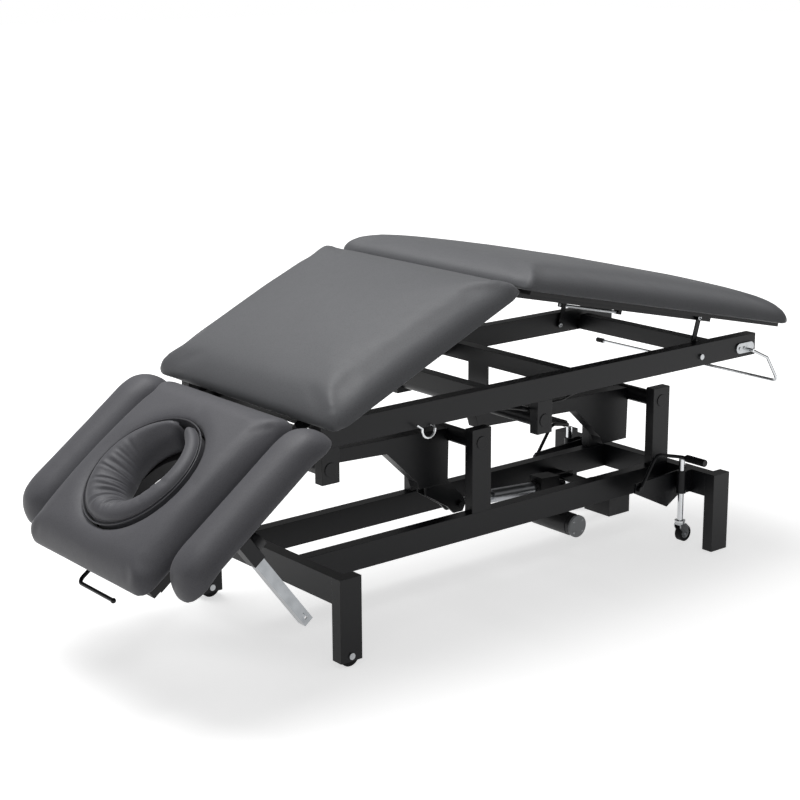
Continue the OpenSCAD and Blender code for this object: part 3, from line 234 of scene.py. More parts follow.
def stainedBoard(name, values):
    # birch plywood under dark stain: long grain along the table, thin plies at the edges
    material, tree, inMm = startFinish(name)
    along = addNode(tree, "ShaderNodeMapping", None, {"Vector": inMm, "Scale": (0.06, 1.0, 1.0)})
    fibre = noiseOf(tree, along.outputs["Vector"], values["fibre"], 6.0, 0.62)
    flame = addNode(tree, "ShaderNodeTexWave", {"wave_type": "BANDS", "bands_direction": "Y"}, {
        "Vector": along.outputs["Vector"], "Scale": 1 / values["flame"], "Distortion": 7.0, "Detail": 2.0})
    both = addNode(tree, "ShaderNodeMath", {"operation": "MULTIPLY"}, {
        0: fibre.outputs["Fac"], 1: rangeOf(tree, flame.outputs["Fac"], 0.7, 1.3)})
    bumpy = bumpOf(tree, fibre.outputs["Fac"], 0.2, 0.3)
    return endFinish(material, tree, {
        "Base Color": blendOf(tree, both.outputs["Value"], paint(values["dark"]), paint(values["light"])),
        "Roughness": 0.62, "Normal": bumpy})


finishes = {
    "frameSteel": powderCoat("powder_coated_steel", {
        "dark": "#090a0e", "light": "#0e0f14", "rough": 0.38, "specular": 0.3,
        "cloud": 160, "peel": 2.4, "edge": 1.6}),  # mm
    "leather": coatedLeather("coated_leather", {
        "dark": "#68696c", "light": "#6f7073", "pitShade": "#58595c", "rough": 0.5,
        "pebble": 2.6, "crease": 22, "patch": 210}),
    # painted shade: a darker copy of the cushion leather, for the head cushion, the armrests and the face
    # ring
    "shadedHeadLeather": coatedLeather("coated_leather_head_painted_shade", {
        "dark": "#606065", "light": "#67676b", "pitShade": "#525257", "rough": 0.5,
        "pebble": 2.6, "crease": 16, "patch": 150}),
    # painted shade: the piping cords are a darker copy of the same coated leather, for the shade in the seams
    # they sit in
    "shadedPiping": coatedLeather("coated_leather_piping_painted_shade", {
        "dark": "#4c4c50", "light": "#545458", "pitShade": "#404044", "rough": 0.46,
        "pebble": 2.0, "crease": 9, "patch": 60}),
    "chrome": platedMetal("chrome_plate", {
        "dark": "#c9cbcd", "light": "#e2e4e6", "rough": 0.16, "line": 1.6, "haze": 60,
        "bump": 0.12, "stretch": (1, 1, 0.04)}),
    "barSteel": platedMetal("bright_drawn_steel", {
        "dark": "#85888b", "light": "#a9acaf", "rough": 0.13, "line": 1.4, "haze": 26,
        "bump": 0.1, "stretch": (1, 1, 0.05)}),
    "zinc": platedMetal("zinc_plated_steel", {
        "dark": "#a9acae", "light": "#c6c8ca", "rough": 0.32, "line": 0.9, "haze": 12,
        "bump": 0.3, "stretch": (0.2, 1, 1)}),
    "castCap": mouldedPolymer("light_grey_enamel", {
        "dark": "#a4a7aa", "light": "#b4b7b9", "rough": 0.4, "grain": 1.2, "cloud": 30, "specular": 0.5}),
    "tubeAlloy": platedMetal("anodised_aluminium", {
        "dark": "#a7aaad", "light": "#bbbdc0", "rough": 0.34, "line": 0.8, "haze": 40,
        "bump": 0.25, "stretch": (0.05, 1, 1)}),
    "nylon": mouldedPolymer("black_nylon", {
        "dark": "#18181a", "light": "#1f1f21", "rough": 0.5, "grain": 0.9, "cloud": 40, "specular": 0.5}),
    "rubber": mouldedPolymer("black_rubber", {
        "dark": "#151516", "light": "#1c1c1d", "rough": 0.75, "grain": 0.7, "cloud": 18, "specular": 0.3}),
    "hub": mouldedPolymer("grey_polypropylene", {
        "dark": "#8a8c8f", "light": "#989a9d", "rough": 0.45, "grain": 0.8, "cloud": 14, "specular": 0.5}),
    "cableJacket": mouldedPolymer("pvc_jacket", {
        "dark": "#161617", "light": "#1d1d1f", "rough": 0.4, "grain": 1.0, "cloud": 25, "specular": 0.5}),
    "board": stainedBoard("stained_plywood", {
        "dark": "#101012", "light": "#1d1c1e", "fibre": 3.0, "flame": 46}),
}

nodeFinish = {
    "frameSteel": ["base_rails", "base_crossbeams", "head_posts", "foot_posts", "uprights", "lift_pivot_pins",
                   "cross_plate", "front_arm", "front_torque_tubes", "rear_arm", "rear_torque_tubes",
                   "upper_rails", "upper_crossbars", "frame_tabs", "tab_pins", "back_frame", "leg_frame",
                   "swing_struts", "head_frame", "head_handle", "rest_sleeves", "caster_sleeves",
                   "caster_brackets", "near_lever", "far_lever"],
    "board": ["back_panel", "leg_panel", "head_panel"],
    "barSteel": ["near_rest_tube", "far_rest_tube"],
    "chrome": ["cable_hook", "roll_rod", "near_caster_tube", "far_caster_tube"],
    "zinc": ["head_wheel_bolts", "frame_pins", "roll_plate", "release_rod", "near_fork", "far_fork",
             "drive_rod"],
    "tubeAlloy": ["drive_tube"],
    "castCap": ["motor_cap"],
    "nylon": ["control_box", "gear_motor", "rail_plugs", "near_rest_knob", "far_rest_knob"],
    "rubber": ["near_head_wheel", "far_head_wheel", "near_caster_wheel", "far_caster_wheel"],
    "cableJacket": ["lift_cable", "motor_lead"],
}
for finish, names in nodeFinish.items():
    for name in names:
        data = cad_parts[name].data
        data.materials.clear()
        data.materials.append(finishes[finish])
print("CAD nodes finished")

# sections: local millimetres to the frame's metres
sections = {
    "back_section": {"origin": (-457, 0, 541), "tilt": 23.94},
    "leg_section": {"origin": (16, 0, 751), "tilt": -12.4843},
    "head_section": {"origin": (-457, 0, 541), "tilt": 37.0},
}


def sectionMatrix(name):
    values = sections[name]
    turn = Matrix.Rotation(-math.radians(values["tilt"]), 4, "Y")
    return Matrix.Translation(Vector(values["origin"]) * mm) @ turn


plane = 16.5  # top of the boards above a section's rail line, mm
headPlane = 34.5  # top of the thicker head board, mm

# cushions
# each grows from the same rows as the CAD solid: tucked lower edge, rolled side, crown


outlineParts = {"corner": 14, "side": 24}  # points round each corner and along each side


def roundedOutline(values, inset):
    x0, x1, half, radius = (values[k] for k in ("x0", "x1", "half", "corner"))
    steps = outlineParts["corner"]
    q = max(radius - inset, radius / 4)
    corners = [(x1 - inset - q, half - inset - q), (x0 + inset + q, half - inset - q),
               (x0 + inset + q, q + inset - half), (x1 - inset - q, q + inset - half)]
    points = []
    for k, (cx, cy) in enumerate(corners):
        for i in range(steps + 1):
            a = math.radians(90 * k + 90 * i / steps)
            points.append(Vector((cx + q * math.cos(a), cy + q * math.sin(a))))
    spread = []
    for i, p in enumerate(points):
        after = points[(i + 1) % len(points)]
        parts = outlineParts["side"] if (i + 1) % (steps + 1) == 0 else 1
        spread += [p.lerp(after, j / parts) for j in range(parts)]
    return spread


def edgeRows(tuck=0.06, count=14):
    rows = [(tuck, 0.0), (tuck * 0.3, 0.4 * tuck), (0.0, tuck)]
    for i in range(1, count + 1):
        a = math.radians(90 * i / count)
        rows.append((1 - math.cos(a), tuck + (1 - tuck) * math.sin(a)))
    return rows


def sideRows(values):
    return [[(p.x, p.y, values["floor"] + values["thick"] * up)
             for p in roundedOutline(values, values["roll"] * inward)] for inward, up in edgeRows()]


def closedSkin(name, rows, capLow=None, capTop=None, loop=False):
    count = len(rows[0])
    points = [p for row in rows for p in row]
    faces = []
    for j in range(len(rows) if loop else len(rows) - 1):
        k = (j + 1) % len(rows)
        faces += [(j * count + i, j * count + (i + 1) % count, k * count + (i + 1) % count, k * count + i)
                  for i in range(count)]
    for cap, row in ((capLow, 0), (capTop, len(rows) - 1)):
        if cap is not None:
            points.append(cap)
            faces += [(row * count + i, row * count + (i + 1) % count, len(points) - 1) for i in range(count)]
    return meshOf(name, points, faces)


# how the covers are worked: mm above the board, and smoothing rounds
cover = {"glued": 2.5, "swellFrom": 8, "dentFrom": 10, "smoothBefore": 6, "smoothShare": 0.5}


def smoothMesh(obj, rounds):
    smoother = obj.modifiers.new("even", "SMOOTH")
    smoother.factor, smoother.iterations = cover["smoothShare"], rounds
    bakeModifiers(obj)


def subdivide(obj):
    finer = obj.modifiers.new("finer", "SUBSURF")
    finer.levels = finer.render_levels = 1
    bakeModifiers(obj)


def puffUp(obj, values, floorHeight):
    # cloth with air pressure fills the cover; the lower face is glued to its board
    start = [v.co.copy() for v in obj.data.vertices]
    glued = [i for i, p in enumerate(start) if p.z < floorHeight + cover["glued"] * mm]
    group = obj.vertex_groups.new(name="glued")
    group.add(glued, 1.0, "REPLACE")
    cloth = obj.modifiers.new("cover", "CLOTH")
    cloth.settings.vertex_group_mass = "glued"
    cloth.settings.quality = 4
    cloth.settings.use_pressure = True
    cloth.settings.uniform_pressure_force = values["pressure"]
    cloth.settings.tension_stiffness = values["stiff"]
    cloth.settings.compression_stiffness = values["stiff"]
    cloth.settings.effector_weights.gravity = 0
    cloth.point_cache.frame_start, cloth.point_cache.frame_end = 1, values["frames"]
    for number in range(1, values["frames"] + 1):
        scene.frame_set(number)
    bakeModifiers(obj)
    scene.frame_set(1)
    for v, p in zip(obj.data.vertices, start):
        moved = v.co - p
        if moved.length > values["cap"] * mm:
            v.co = p + moved.normalized() * values["cap"] * mm
    obj.vertex_groups.clear()


def finishCushion(obj, body, node, finish):
    obj.data.materials.clear()
    obj.data.materials.append(finishes[finish])
    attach(obj, body)
    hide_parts(node)


def extentOf(mesh):
    return [(min(v.co[k] for v in mesh.vertices), max(v.co[k] for v in mesh.vertices)) for k in range(3)]


def fitTo(obj, extent):
    # stretched back to the drawn length, width and height
    for k, ((low, high), (nowLow, nowHigh)) in enumerate(zip(extent, extentOf(obj.data))):
        for v in obj.data.vertices:
            v.co[k] = low + (v.co[k] - nowLow) * (high - low) / (nowHigh - nowLow)


def makeCushion(name, mesh, body, node, finish, values, bend=None):
    floor = values["floor"] * mm
    obj = newObject(name, mesh)
    drawn = extentOf(mesh)
    remesh = obj.modifiers.new("even", "REMESH")
    remesh.mode, remesh.voxel_size = "VOXEL", values["voxel"] * mm
    bakeModifiers(obj)
    smoothMesh(obj, cover["smoothBefore"])
    # starts a little smaller, then swells back
    for v in obj.data.vertices:
        lift = min(1.0, max(0.0, (v.co.z - floor) / (cover["swellFrom"] * mm)))
        v.co -= v.normal * values["smaller"] * mm * lift
    puffUp(obj, values, floor)
    smoothMesh(obj, values["soften"])
    fitTo(obj, drawn)
    softDents(obj, values)
    subdivide(obj)
    if bend:
        for v in obj.data.vertices:
            v.co = bend(v.co / mm) * mm
    obj.data.transform(sectionMatrix(body if body in sections else "head_section"))
    obj.data.update()
    finishCushion(obj, body, node, finish)
    print(name, "done,", len(obj.data.vertices), "points")


def softDents(obj, values):
    # slow unevenness of foam under its cover, strongest along the rolled sides
    for v in obj.data.vertices:
        share = min(1.0, max(0.0, (v.co.z - values["floor"] * mm) / (cover["dentFrom"] * mm)))
        wide, narrow = values["dentSize"] * mm, values["dentSize"] * 0.4 * mm
        swell = noise.noise(v.co / wide) + 0.5 * noise.noise(v.co / narrow)
        v.co += v.normal * swell * values["dent"] * mm * share


backCushion = {"floor": plane, "x0": -44, "x1": 515.5, "half": 343, "corner": 34, "roll": 62,
               "thick": 54, "crown": 14, "arch": 11,
               "voxel": 9, "pressure": 4, "stiff": 18, "frames": 14, "cap": 7, "smaller": 4.5, "soften": 5,
               "dent": 0.8, "dentSize": 150, "fill": 0.75}
legCushion = dict(backCushion, x0=2, x1=916.5, arch=8)


def archOf(values):
    # a cushion swells along the middle of its length
    def swell(p):
        share = (p[0] * 2 - values["x0"] - values["x1"]) / (values["x1"] - values["x0"])
        rise = 1 + values["arch"] / values["thick"] * max(0.0, 1 - share * share)
        return Vector((p[0], p[1], values["floor"] + (p[2] - values["floor"]) * rise))
    return swell


# rows of the crown: how far inward, in rolls, and which share of the crown's height
crownRows = ((1.25, 0.22), (1.6, 0.42), (2.1, 0.62), (2.8, 0.8), (3.6, 0.93))


def slabRows(values):
    rows = sideRows(values)
    for inward, lift in crownRows:
        rows.append([(p.x, p.y, plane + values["thick"] + values["crown"] * lift)
                     for p in roundedOutline(values, values["roll"] * inward)])
    return rows


def slabMesh(name, values):
    middle = (values["x0"] + values["x1"]) / 2
    mesh = closedSkin(name, slabRows(values), (middle, 0, plane),
                      (middle, 0, plane + values["thick"] + values["crown"]))
    mesh.transform(Matrix.Scale(mm, 4))
    return mesh


makeCushion("backCushion", slabMesh("backCushion", backCushion), "back_section", "back_cushion",
            "leather", backCushion, archOf(backCushion))
makeCushion("legCushion", slabMesh("legCushion", legCushion), "leg_section", "leg_cushion",
            "leather", legCushion, archOf(legCushion))

# head cushion: the same roll round an oval recess for the face ring
headCushion = {"floor": headPlane, "x0": -530, "x1": -56, "half": 237.5, "corner": 34, "roll": 46,
               "thick": 54, "arch": 16, "holeX": -304, "recessL": 288, "recessW": 292, "rimWide": 40,
               "voxel": 6, "pressure": 4, "stiff": 18, "frames": 14, "cap": 4, "smaller": 2.5, "soften": 9,
               "dent": 0.5, "dentSize": 140, "fill": 0.7}


def archAt(p):
    # the face ring and the piping swell with the head cushion
    return archOf(headCushion)(p)


# rows down into the recess: how far outward, as a share of the rim, and the share of the height
recessRows = ((0.16, 1.0), (0.09, 0.995), (0.04, 0.975), (0.012, 0.94), (0.0, 0.88),
              (0.0, 0.5), (0.0, 0.1), (0.02, 0.0))


def headMesh(name, values):
    def ovalRow(grow, up):
        base = roundedOutline(values, 0)
        row = []
        for p in base:
            a = math.atan2(p.y / values["recessW"], (p.x - values["holeX"]) / values["recessL"])
            row.append((values["holeX"] + (values["recessL"] / 2 + grow) * math.cos(a),
                        (values["recessW"] / 2 + grow) * math.sin(a), headPlane + values["thick"] * up))
        return row
    rows = sideRows(values)
    rows += [ovalRow(values["rimWide"] * outward, up) for outward, up in recessRows]
    mesh = closedSkin(name, rows, loop=True)
    mesh.transform(Matrix.Scale(mm, 4))
    return mesh


makeCushion("headCushion", headMesh("headCushion", headCushion), "head_section", "head_cushion",
            "shadedHeadLeather", headCushion, archAt)

# armrests: straight strips with round ends that droop
armCushion = {"floor": headPlane + 0.05, "middleX": -269, "y": 306, "length": 442, "wide": 116, "droop": 22,
              "flat": 128, "roll": 44, "thick": 54,
              "voxel": 6, "pressure": 4, "stiff": 18, "frames": 14, "cap": 4, "smaller": 2.5, "soften": 7,
              "dent": 0.5, "dentSize": 100, "fill": 0.75, "sideSteps": 60, "endSteps": 24}


def droopAt(p):
    past = max(0.0, abs(p[0] - armCushion["middleX"]) - armCushion["flat"])
    share = past / (armCushion["length"] / 2 - armCushion["flat"])
    return Vector((p[0], p[1], p[2] - armCushion["droop"] * share * share))


def armOutline(values, inset, side):
    half, reach = values["wide"] / 2 - inset, (values["length"] - values["wide"]) / 2
    sideCount, endCount = values["sideSteps"], values["endSteps"]
    points = [Vector((reach - 2 * reach * i / sideCount, half)) for i in range(sideCount + 1)]
    points += [Vector((-reach - half * math.sin(a), half * math.cos(a)))
               for a in (math.pi * i / endCount for i in range(1, endCount))]
    points += [Vector((-reach + 2 * reach * i / sideCount, -half)) for i in range(sideCount + 1)]
    points += [Vector((reach + half * math.sin(a), -half * math.cos(a)))
               for a in (math.pi * i / endCount for i in range(1, endCount))]
    return [Vector((values["middleX"] + p.x, (values["y"] + p.y) * side)) for p in points]


def armMesh(name, values, side):
    # the faces at the top and the bottom run straight across, so the droop bends them evenly
    rows = [[(p.x, p.y, values["floor"] + values["thick"] * up)
             for p in armOutline(values, values["roll"] * inward, side)] for inward, up in edgeRows()]
    sideCount, endCount = values["sideSteps"], values["endSteps"]
    count, last, total = len(rows[0]), len(rows) - 1, sideCount * 2 + endCount
    points = [p for row in rows for p in row]
    faces = [(j * count + i, j * count + (i + 1) % count,
              (j + 1) * count + (i + 1) % count, (j + 1) * count + i)
             for j in range(last) for i in range(count)]
    for row in (0, last):
        for i in range(-(endCount // 2), sideCount + endCount // 2):
            ring = [i % count, (i + 1) % count, (total - i - 1) % count, (total - i) % count]
            ring = [row * count + k for n, k in enumerate(ring) if k not in ring[:n]]
            faces.append(tuple(ring))
    mesh = meshOf(name, points, faces)
    mesh.transform(Matrix.Scale(mm, 4))
    return mesh


for side, label in ((-1, "near"), (1, "far")):
    makeCushion(label + "ArmCushion", armMesh(label + "ArmCushion", armCushion, side), label + "_armrest",
                label + "_armrest", "shadedHeadLeather", armCushion, droopAt)

# face ring
faceRing = {"middleX": -304, "long": 280, "wide": 284, "holeLong": 128, "holeWide": 106, "rise": 63,
            "gapAngle": 7, "tipShare": 0.42, "gathers": 19, "deep": 4.6, "seed": 11,
            "foldFrom": 60, "foldTo": 275, "foldMost": 150, "foldSpread": 62,  # degrees from the split
            "foldWide": (0.034, 0.062), "foldDeep": (0.45, 1.0), "foldReach": (0.1, 0.42),
            "foldLean": 0.16, "foldLeast": 0.2, "foldFan": 1.6, "fadeIn": 0.25, "fadeOut": 0.12,
            "foldEnd": 1.02, "ridge": 0.45, "ridgeAt": 1.5,  # radians, and shares of depth and width
            "foldAbove": 0.25, "foldFirst": 0.08, "foldLast": 0.99,
            "taperAngle": 100, "tipAngle": 9, "taperPower": 0.8, "tipHeight": 0.93, "flatTip": 0.25,
            "seat": 0.3, "stations": 300, "fill": 0.8}
ringProfile = [(0.04, 0.0), (0.0, 0.05), (0.0, 0.3), (0.0, 0.6), (0.012, 0.72), (0.04, 0.83),
               (0.09, 0.915), (0.16, 0.965), (0.25, 0.993), (0.35, 1.0), (0.46, 0.975), (0.56, 0.925),
               (0.66, 0.855), (0.76, 0.765), (0.85, 0.66), (0.92, 0.54), (0.975, 0.4), (1.0, 0.28),
               (1.0, 0.1), (0.96, 0.0), (0.7, 0.0), (0.35, 0.0)]


def ringPoint(values, a, across, up):
    # across runs from the outer edge (0) to the opening (1), up from the board (0) to the crest (1)
    fromRear = min(abs(a), 2 * math.pi - abs(a))
    gap = math.radians(values["gapAngle"])
    taper = min(1.0, max(0.0, (fromRear - gap) / math.radians(values["taperAngle"])))
    width = values["tipShare"] + (1 - values["tipShare"]) * taper ** values["taperPower"]
    tip = min(1.0, max(0.0, (fromRear - gap) / math.radians(values["tipAngle"])))
    round_ = math.sqrt(max(0.0, 1 - (1 - tip) ** 2))
    deepX = (values["long"] - values["holeLong"]) / 2 * width
    deepY = (values["wide"] - values["holeWide"]) / 2 * width
    share = 0.5 + (across - 0.5) * round_
    height = 0.5 + (up - 0.5) * (values["flatTip"] + (1 - values["flatTip"]) * round_)
    crest = values["tipHeight"] + (1 - values["tipHeight"]) * taper
    return Vector((values["middleX"] + (values["long"] / 2 - deepX * share) * math.cos(a),
                   (values["wide"] / 2 - deepY * share) * math.sin(a),
                   headPlane + values["seat"] + (values["rise"] - values["seat"]) * height * crest))


def ringFolds(values):
    # gathers radiate from the opening over the head end, stronger on the far side
    random.seed(values["seed"])
    folds = []
    for i in range(values["gathers"]):
        a = math.radians(values["foldFrom"] + (values["foldTo"] - values["foldFrom"]) * (
            i + random.uniform(0.15, 0.85)) / values["gathers"])
        weight = math.exp(-((math.degrees(a) - values["foldMost"]) / values["foldSpread"]) ** 2)
        most = values["foldLeast"] + (1 - values["foldLeast"]) * weight
        folds.append((a, random.uniform(*values["foldWide"]), random.uniform(*values["foldDeep"]) * most,
                      random.uniform(*values["foldReach"]),
                      random.uniform(-values["foldLean"], values["foldLean"])))
    return folds


def foldDepth(values, folds, a, across):
    # mm below the smooth ring; soft ridges rise beside each fold
    sink = 0
    for middle, wide, deep, reach, lean in folds:
        off = (a - middle - lean * (1 - across)) / (wide * (values["foldFan"] - across))
        fade = min(1.0, max(0.0, (across - reach) / values["fadeIn"]))
        fade *= min(1.0, (values["foldEnd"] - across) / values["fadeOut"])
        ridge = values["ridge"] * math.exp(-(abs(off) - values["ridgeAt"]) ** 2)
        sink += deep * fade * (math.exp(-off * off) - ridge)
    return sink


def makeFaceRing(values):
    stations, count = values["stations"], len(ringProfile)
    gap = math.radians(values["gapAngle"])
    angles = [gap + (2 * math.pi - 2 * gap) * i / stations for i in range(stations + 1)]
    folds = ringFolds(values)
    rows = []
    for a in angles:
        row = []
        for across, up in ringProfile:
            p = archAt(ringPoint(values, a, across, up))
            if up > values["foldAbove"] and values["foldFirst"] < across < values["foldLast"]:
                p.z -= foldDepth(values, folds, a, across) * values["deep"]
            row.append(p * mm)
        rows.append(row)
    caps = [sum(row, Vector()) / count for row in (rows[0], rows[-1])]
    obj = newObject("faceRing", closedSkin("faceRing", rows, caps[0], caps[1]))
    subdivide(obj)
    obj.data.transform(sectionMatrix("head_section"))
    finishCushion(obj, "head_section", "face_ring", "shadedHeadLeather")
    print("faceRing done,", len(obj.data.vertices), "points")


makeFaceRing(faceRing)

# sewn edges: piping cords follow the seams; the recess piping follows a curve by Geometry Nodes


def startTree(name, inputs):
    tree = bpy.data.node_groups.new(name, "GeometryNodeTree")
    tree.interface.new_socket("Geometry", in_out="INPUT", socket_type="NodeSocketGeometry")
    tree.interface.new_socket("Geometry", in_out="OUTPUT", socket_type="NodeSocketGeometry")
    for label, (kind, value) in inputs.items():
        socket = tree.interface.new_socket(label, in_out="INPUT", socket_type=kind)
        if value is not None:
            socket.default_value = value
    return tree, addNode(tree, "NodeGroupInput")


def endTree(tree, geometry, material):
    real = addNode(tree, "GeometryNodeRealizeInstances", None, {"Geometry": geometry})
    coloured = addNode(tree, "GeometryNodeSetMaterial", None, {
        "Geometry": real.outputs[0], "Material": material})
    addNode(tree, "NodeGroupOutput", None, {"Geometry": coloured.outputs[0]})
    return tree


def runTree(obj, tree, values):
    # inputs are set by their identifiers before the first evaluation, then the result is baked
    modifier = obj.modifiers.new(tree.name, "NODES")
    modifier.node_group = tree
    for item in tree.interface.items_tree:
        if item.item_type == "SOCKET" and item.in_out == "INPUT" and item.name in values:
            modifier[item.identifier] = values[item.name]
    bakeModifiers(obj)
    return obj


def pipingTree():
    tree, given = startTree("sewnPiping", {
        "Radius": ("NodeSocketFloat", 0.002), "Finish": ("NodeSocketMaterial", None)})
    line = addNode(tree, "GeometryNodeMeshToCurve", None, {"Mesh": given.outputs["Geometry"]})
    even = addNode(tree, "GeometryNodeSetSplineCyclic", None, {"Geometry": line.outputs[0], "Cyclic": True})
    section = addNode(tree, "GeometryNodeCurvePrimitiveCircle", None, {
        "Radius": given.outputs["Radius"], "Resolution": 10})
    tube = addNode(tree, "GeometryNodeCurveToMesh", None, {
        "Curve": even.outputs[0], "Profile Curve": section.outputs["Curve"]})
    soft = addNode(tree, "GeometryNodeSetShadeSmooth", None, {"Geometry": tube.outputs[0]})
    return endTree(tree, soft.outputs[0], given.outputs["Finish"])


def loopMesh(name, points):
    mesh = bpy.data.meshes.new(name)
    mesh.from_pydata([tuple(p) for p in points], [(i, (i + 1) % len(points)) for i in range(len(points))], [])
    return mesh


pipingShape = {"radius": 1.7, "recessUp": 0.955, "recessOut": 1.5}
sewnPiping = pipingTree()


def makePiping(name, points, body, finish, radius):
    line = newObject(name, loopMesh(name, points))
    runTree(line, sewnPiping, {"Radius": radius * mm, "Finish": finishes[finish]})
    line.data.transform(sectionMatrix(body))
    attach(line, body)


def recessRimAt(a):
    reachX = headCushion["recessL"] / 2 + pipingShape["recessOut"]
    reachY = headCushion["recessW"] / 2 + pipingShape["recessOut"]
    return mm * archAt(Vector((headCushion["holeX"] + reachX * math.cos(a), reachY * math.sin(a),
                               headPlane + headCushion["thick"] * pipingShape["recessUp"])))


recessRim = [recessRimAt(2 * math.pi * i / 220) for i in range(220)]
makePiping("recessPiping", recessRim, "head_section", "shadedPiping", pipingShape["radius"])
# the ring's seam runs from tip to tip, 3 degrees short of each end
seamSteps, seamShort = 239, 3
seamSpan = 360 - 2 * (faceRing["gapAngle"] + seamShort)
seamAngles = [math.radians(faceRing["gapAngle"] + seamShort + seamSpan * i / seamSteps)
              for i in range(seamSteps + 1)]
ringSeam = [archAt(ringPoint(faceRing, a, 0.035, 0.83)) * mm for a in seamAngles]


def seamTube(name, points, radius, body, finish):
    # open seam cord, made as one tube along its points
    around, rows = 8, []
    for i, p in enumerate(points):
        ahead = (points[min(i + 1, len(points) - 1)] - points[max(i - 1, 0)]).normalized()
        side = ahead.cross(Vector((0, 0, 1))).normalized()
        up = side.cross(ahead)
        rows.append([p + (side * math.cos(a) + up * math.sin(a)) * radius
                     for a in (2 * math.pi * k / around for k in range(around))])
    obj = newObject(name, closedSkin(name, rows, points[0], points[-1]))
    obj.data.transform(sectionMatrix(body))
    obj.data.materials.append(finishes[finish])
    return obj


ringCord = seamTube("ringPiping", ringSeam, 1.3 * mm, "head_section", "shadedPiping")
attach(ringCord, "head_section")
print("seams done")

# screws and bolts: one head stands at every given place


def headTree():
    tree, given = startTree("screwHeads", {
        "Diameter": ("NodeSocketFloat", 0.012), "Height": ("NodeSocketFloat", 0.004),
        "Facing": ("NodeSocketVector", None), "Finish": ("NodeSocketMaterial", None)})
    turned = addNode(tree, "FunctionNodeAlignRotationToVector", {"axis": "Z"}, {
        "Vector": given.outputs["Facing"]})
    # radii of the head's foot, its socket and its top, as shares of the diameter
    half, small, slim = [addNode(tree, "ShaderNodeMath", {"operation": "MULTIPLY"}, {
        0: given.outputs["Diameter"], 1: share}) for share in (0.5, 0.27, 0.4)]
    body = addNode(tree, "GeometryNodeMeshCone", None, {
        "Vertices": 28, "Side Segments": 2, "Radius Top": slim.outputs[0], "Radius Bottom": half.outputs[0],
        "Depth": given.outputs["Height"]})
    socket = addNode(tree, "GeometryNodeMeshCylinder", None, {
        "Vertices": 6, "Radius": small.outputs[0], "Depth": given.outputs["Height"]})
    up = addNode(tree, "ShaderNodeCombineXYZ", None, {"Z": given.outputs["Height"]})
    deep = addNode(tree, "GeometryNodeTransform", None, {
        "Geometry": socket.outputs[0], "Translation": up.outputs[0]})
    head = addNode(tree, "GeometryNodeMeshBoolean", {"operation": "DIFFERENCE"}, {
        "Mesh 1": body.outputs[0], "Mesh 2": deep.outputs[0]})
    heads = addNode(tree, "GeometryNodeInstanceOnPoints", None, {
        "Points": given.outputs["Geometry"], "Instance": head.outputs[0], "Rotation": turned.outputs[0]})
    return endTree(tree, heads.outputs[0], given.outputs["Finish"])


screwHeads = headTree()


def makeHeads(name, values):
    points = bpy.data.meshes.new(name)
    points.from_pydata([tuple(Vector(spot) * mm) for spot in values["spots"]], [], [])
    obj = newObject(name, points)
    runTree(obj, screwHeads, {"Diameter": values["diameter"] * mm, "Height": values["height"] * mm,
                              "Facing": values["facing"], "Finish": finishes[values["finish"]]})
    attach(obj, values["body"])


fixings = {  # places in the frame's millimetres
    "strutBolts": {"body": "leg_section", "finish": "zinc", "diameter": 13, "height": 0.6,
                   "facing": (0, -1, 0), "spots": [(698, -234.8, 600), (698, 201.3, 600)]},
    "strutFeet": {"body": "upper_frame", "finish": "zinc", "diameter": 13, "height": 4, "facing": (0, -1, 0),
                  "spots": [(671, 228.6, 511)]},
    "capScrews": {"body": "base", "finish": "zinc", "diameter": 5, "height": 1.6, "facing": (0, -1, 0),
                  "spots": [(398 + 20 * math.cos(a), -125.9, 96 + 20 * math.sin(a))
                            for a in (math.radians(45 + 90 * k) for k in range(4))]},
}
for name, values in fixings.items():
    makeHeads(name, values)


def ribTree():
    # raised rings stand at even steps along a line
    tree, given = startTree("grippedRibs", {
        "Count": ("NodeSocketInt", 8), "Radius": ("NodeSocketFloat", 9 * mm), "Rib": ("NodeSocketFloat", mm),
        "Finish": ("NodeSocketMaterial", None)})
    line = addNode(tree, "GeometryNodeMeshToCurve", None, {"Mesh": given.outputs["Geometry"]})
    steps = addNode(tree, "GeometryNodeResampleCurve", None, {
        "Curve": line.outputs[0], "Count": given.outputs["Count"]})
    path = addNode(tree, "GeometryNodeCurvePrimitiveCircle", None, {
        "Radius": given.outputs["Radius"], "Resolution": 36})
    section = addNode(tree, "GeometryNodeCurvePrimitiveCircle", None, {
        "Radius": given.outputs["Rib"], "Resolution": 8})
    ring = addNode(tree, "GeometryNodeCurveToMesh", None, {
        "Curve": path.outputs["Curve"], "Profile Curve": section.outputs["Curve"]})
    soft = addNode(tree, "GeometryNodeSetShadeSmooth", None, {"Geometry": ring.outputs[0]})
    run = addNode(tree, "GeometryNodeInputTangent")
    turned = addNode(tree, "FunctionNodeAlignRotationToVector", {"axis": "Z"}, {"Vector": run.outputs[0]})
    rings = addNode(tree, "GeometryNodeInstanceOnPoints", None, {
        "Points": steps.outputs[0], "Instance": soft.outputs[0], "Rotation": turned.outputs[0]})
    return endTree(tree, rings.outputs[0], given.outputs["Finish"])


grippedRibs = ribTree()
gripShape = {"x": 687, "z": 237.8, "from": 219, "to": 277, "count": 15, "radius": 8.4, "rib": 1.1}
for side, label in ((-1, "near"), (1, "far")):
    ends = bpy.data.meshes.new(label + "GripRibs")
    ends.from_pydata([(gripShape["x"] * mm, gripShape[k] * side * mm, gripShape["z"] * mm)
                      for k in ("from", "to")], [(0, 1)], [])
    ribs = newObject(label + "GripRibs", ends)
    runTree(ribs, grippedRibs, {"Count": gripShape["count"], "Radius": gripShape["radius"] * mm,
                                "Rib": gripShape["rib"] * mm, "Finish": finishes["rubber"]})
    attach(ribs, label + "_lever")


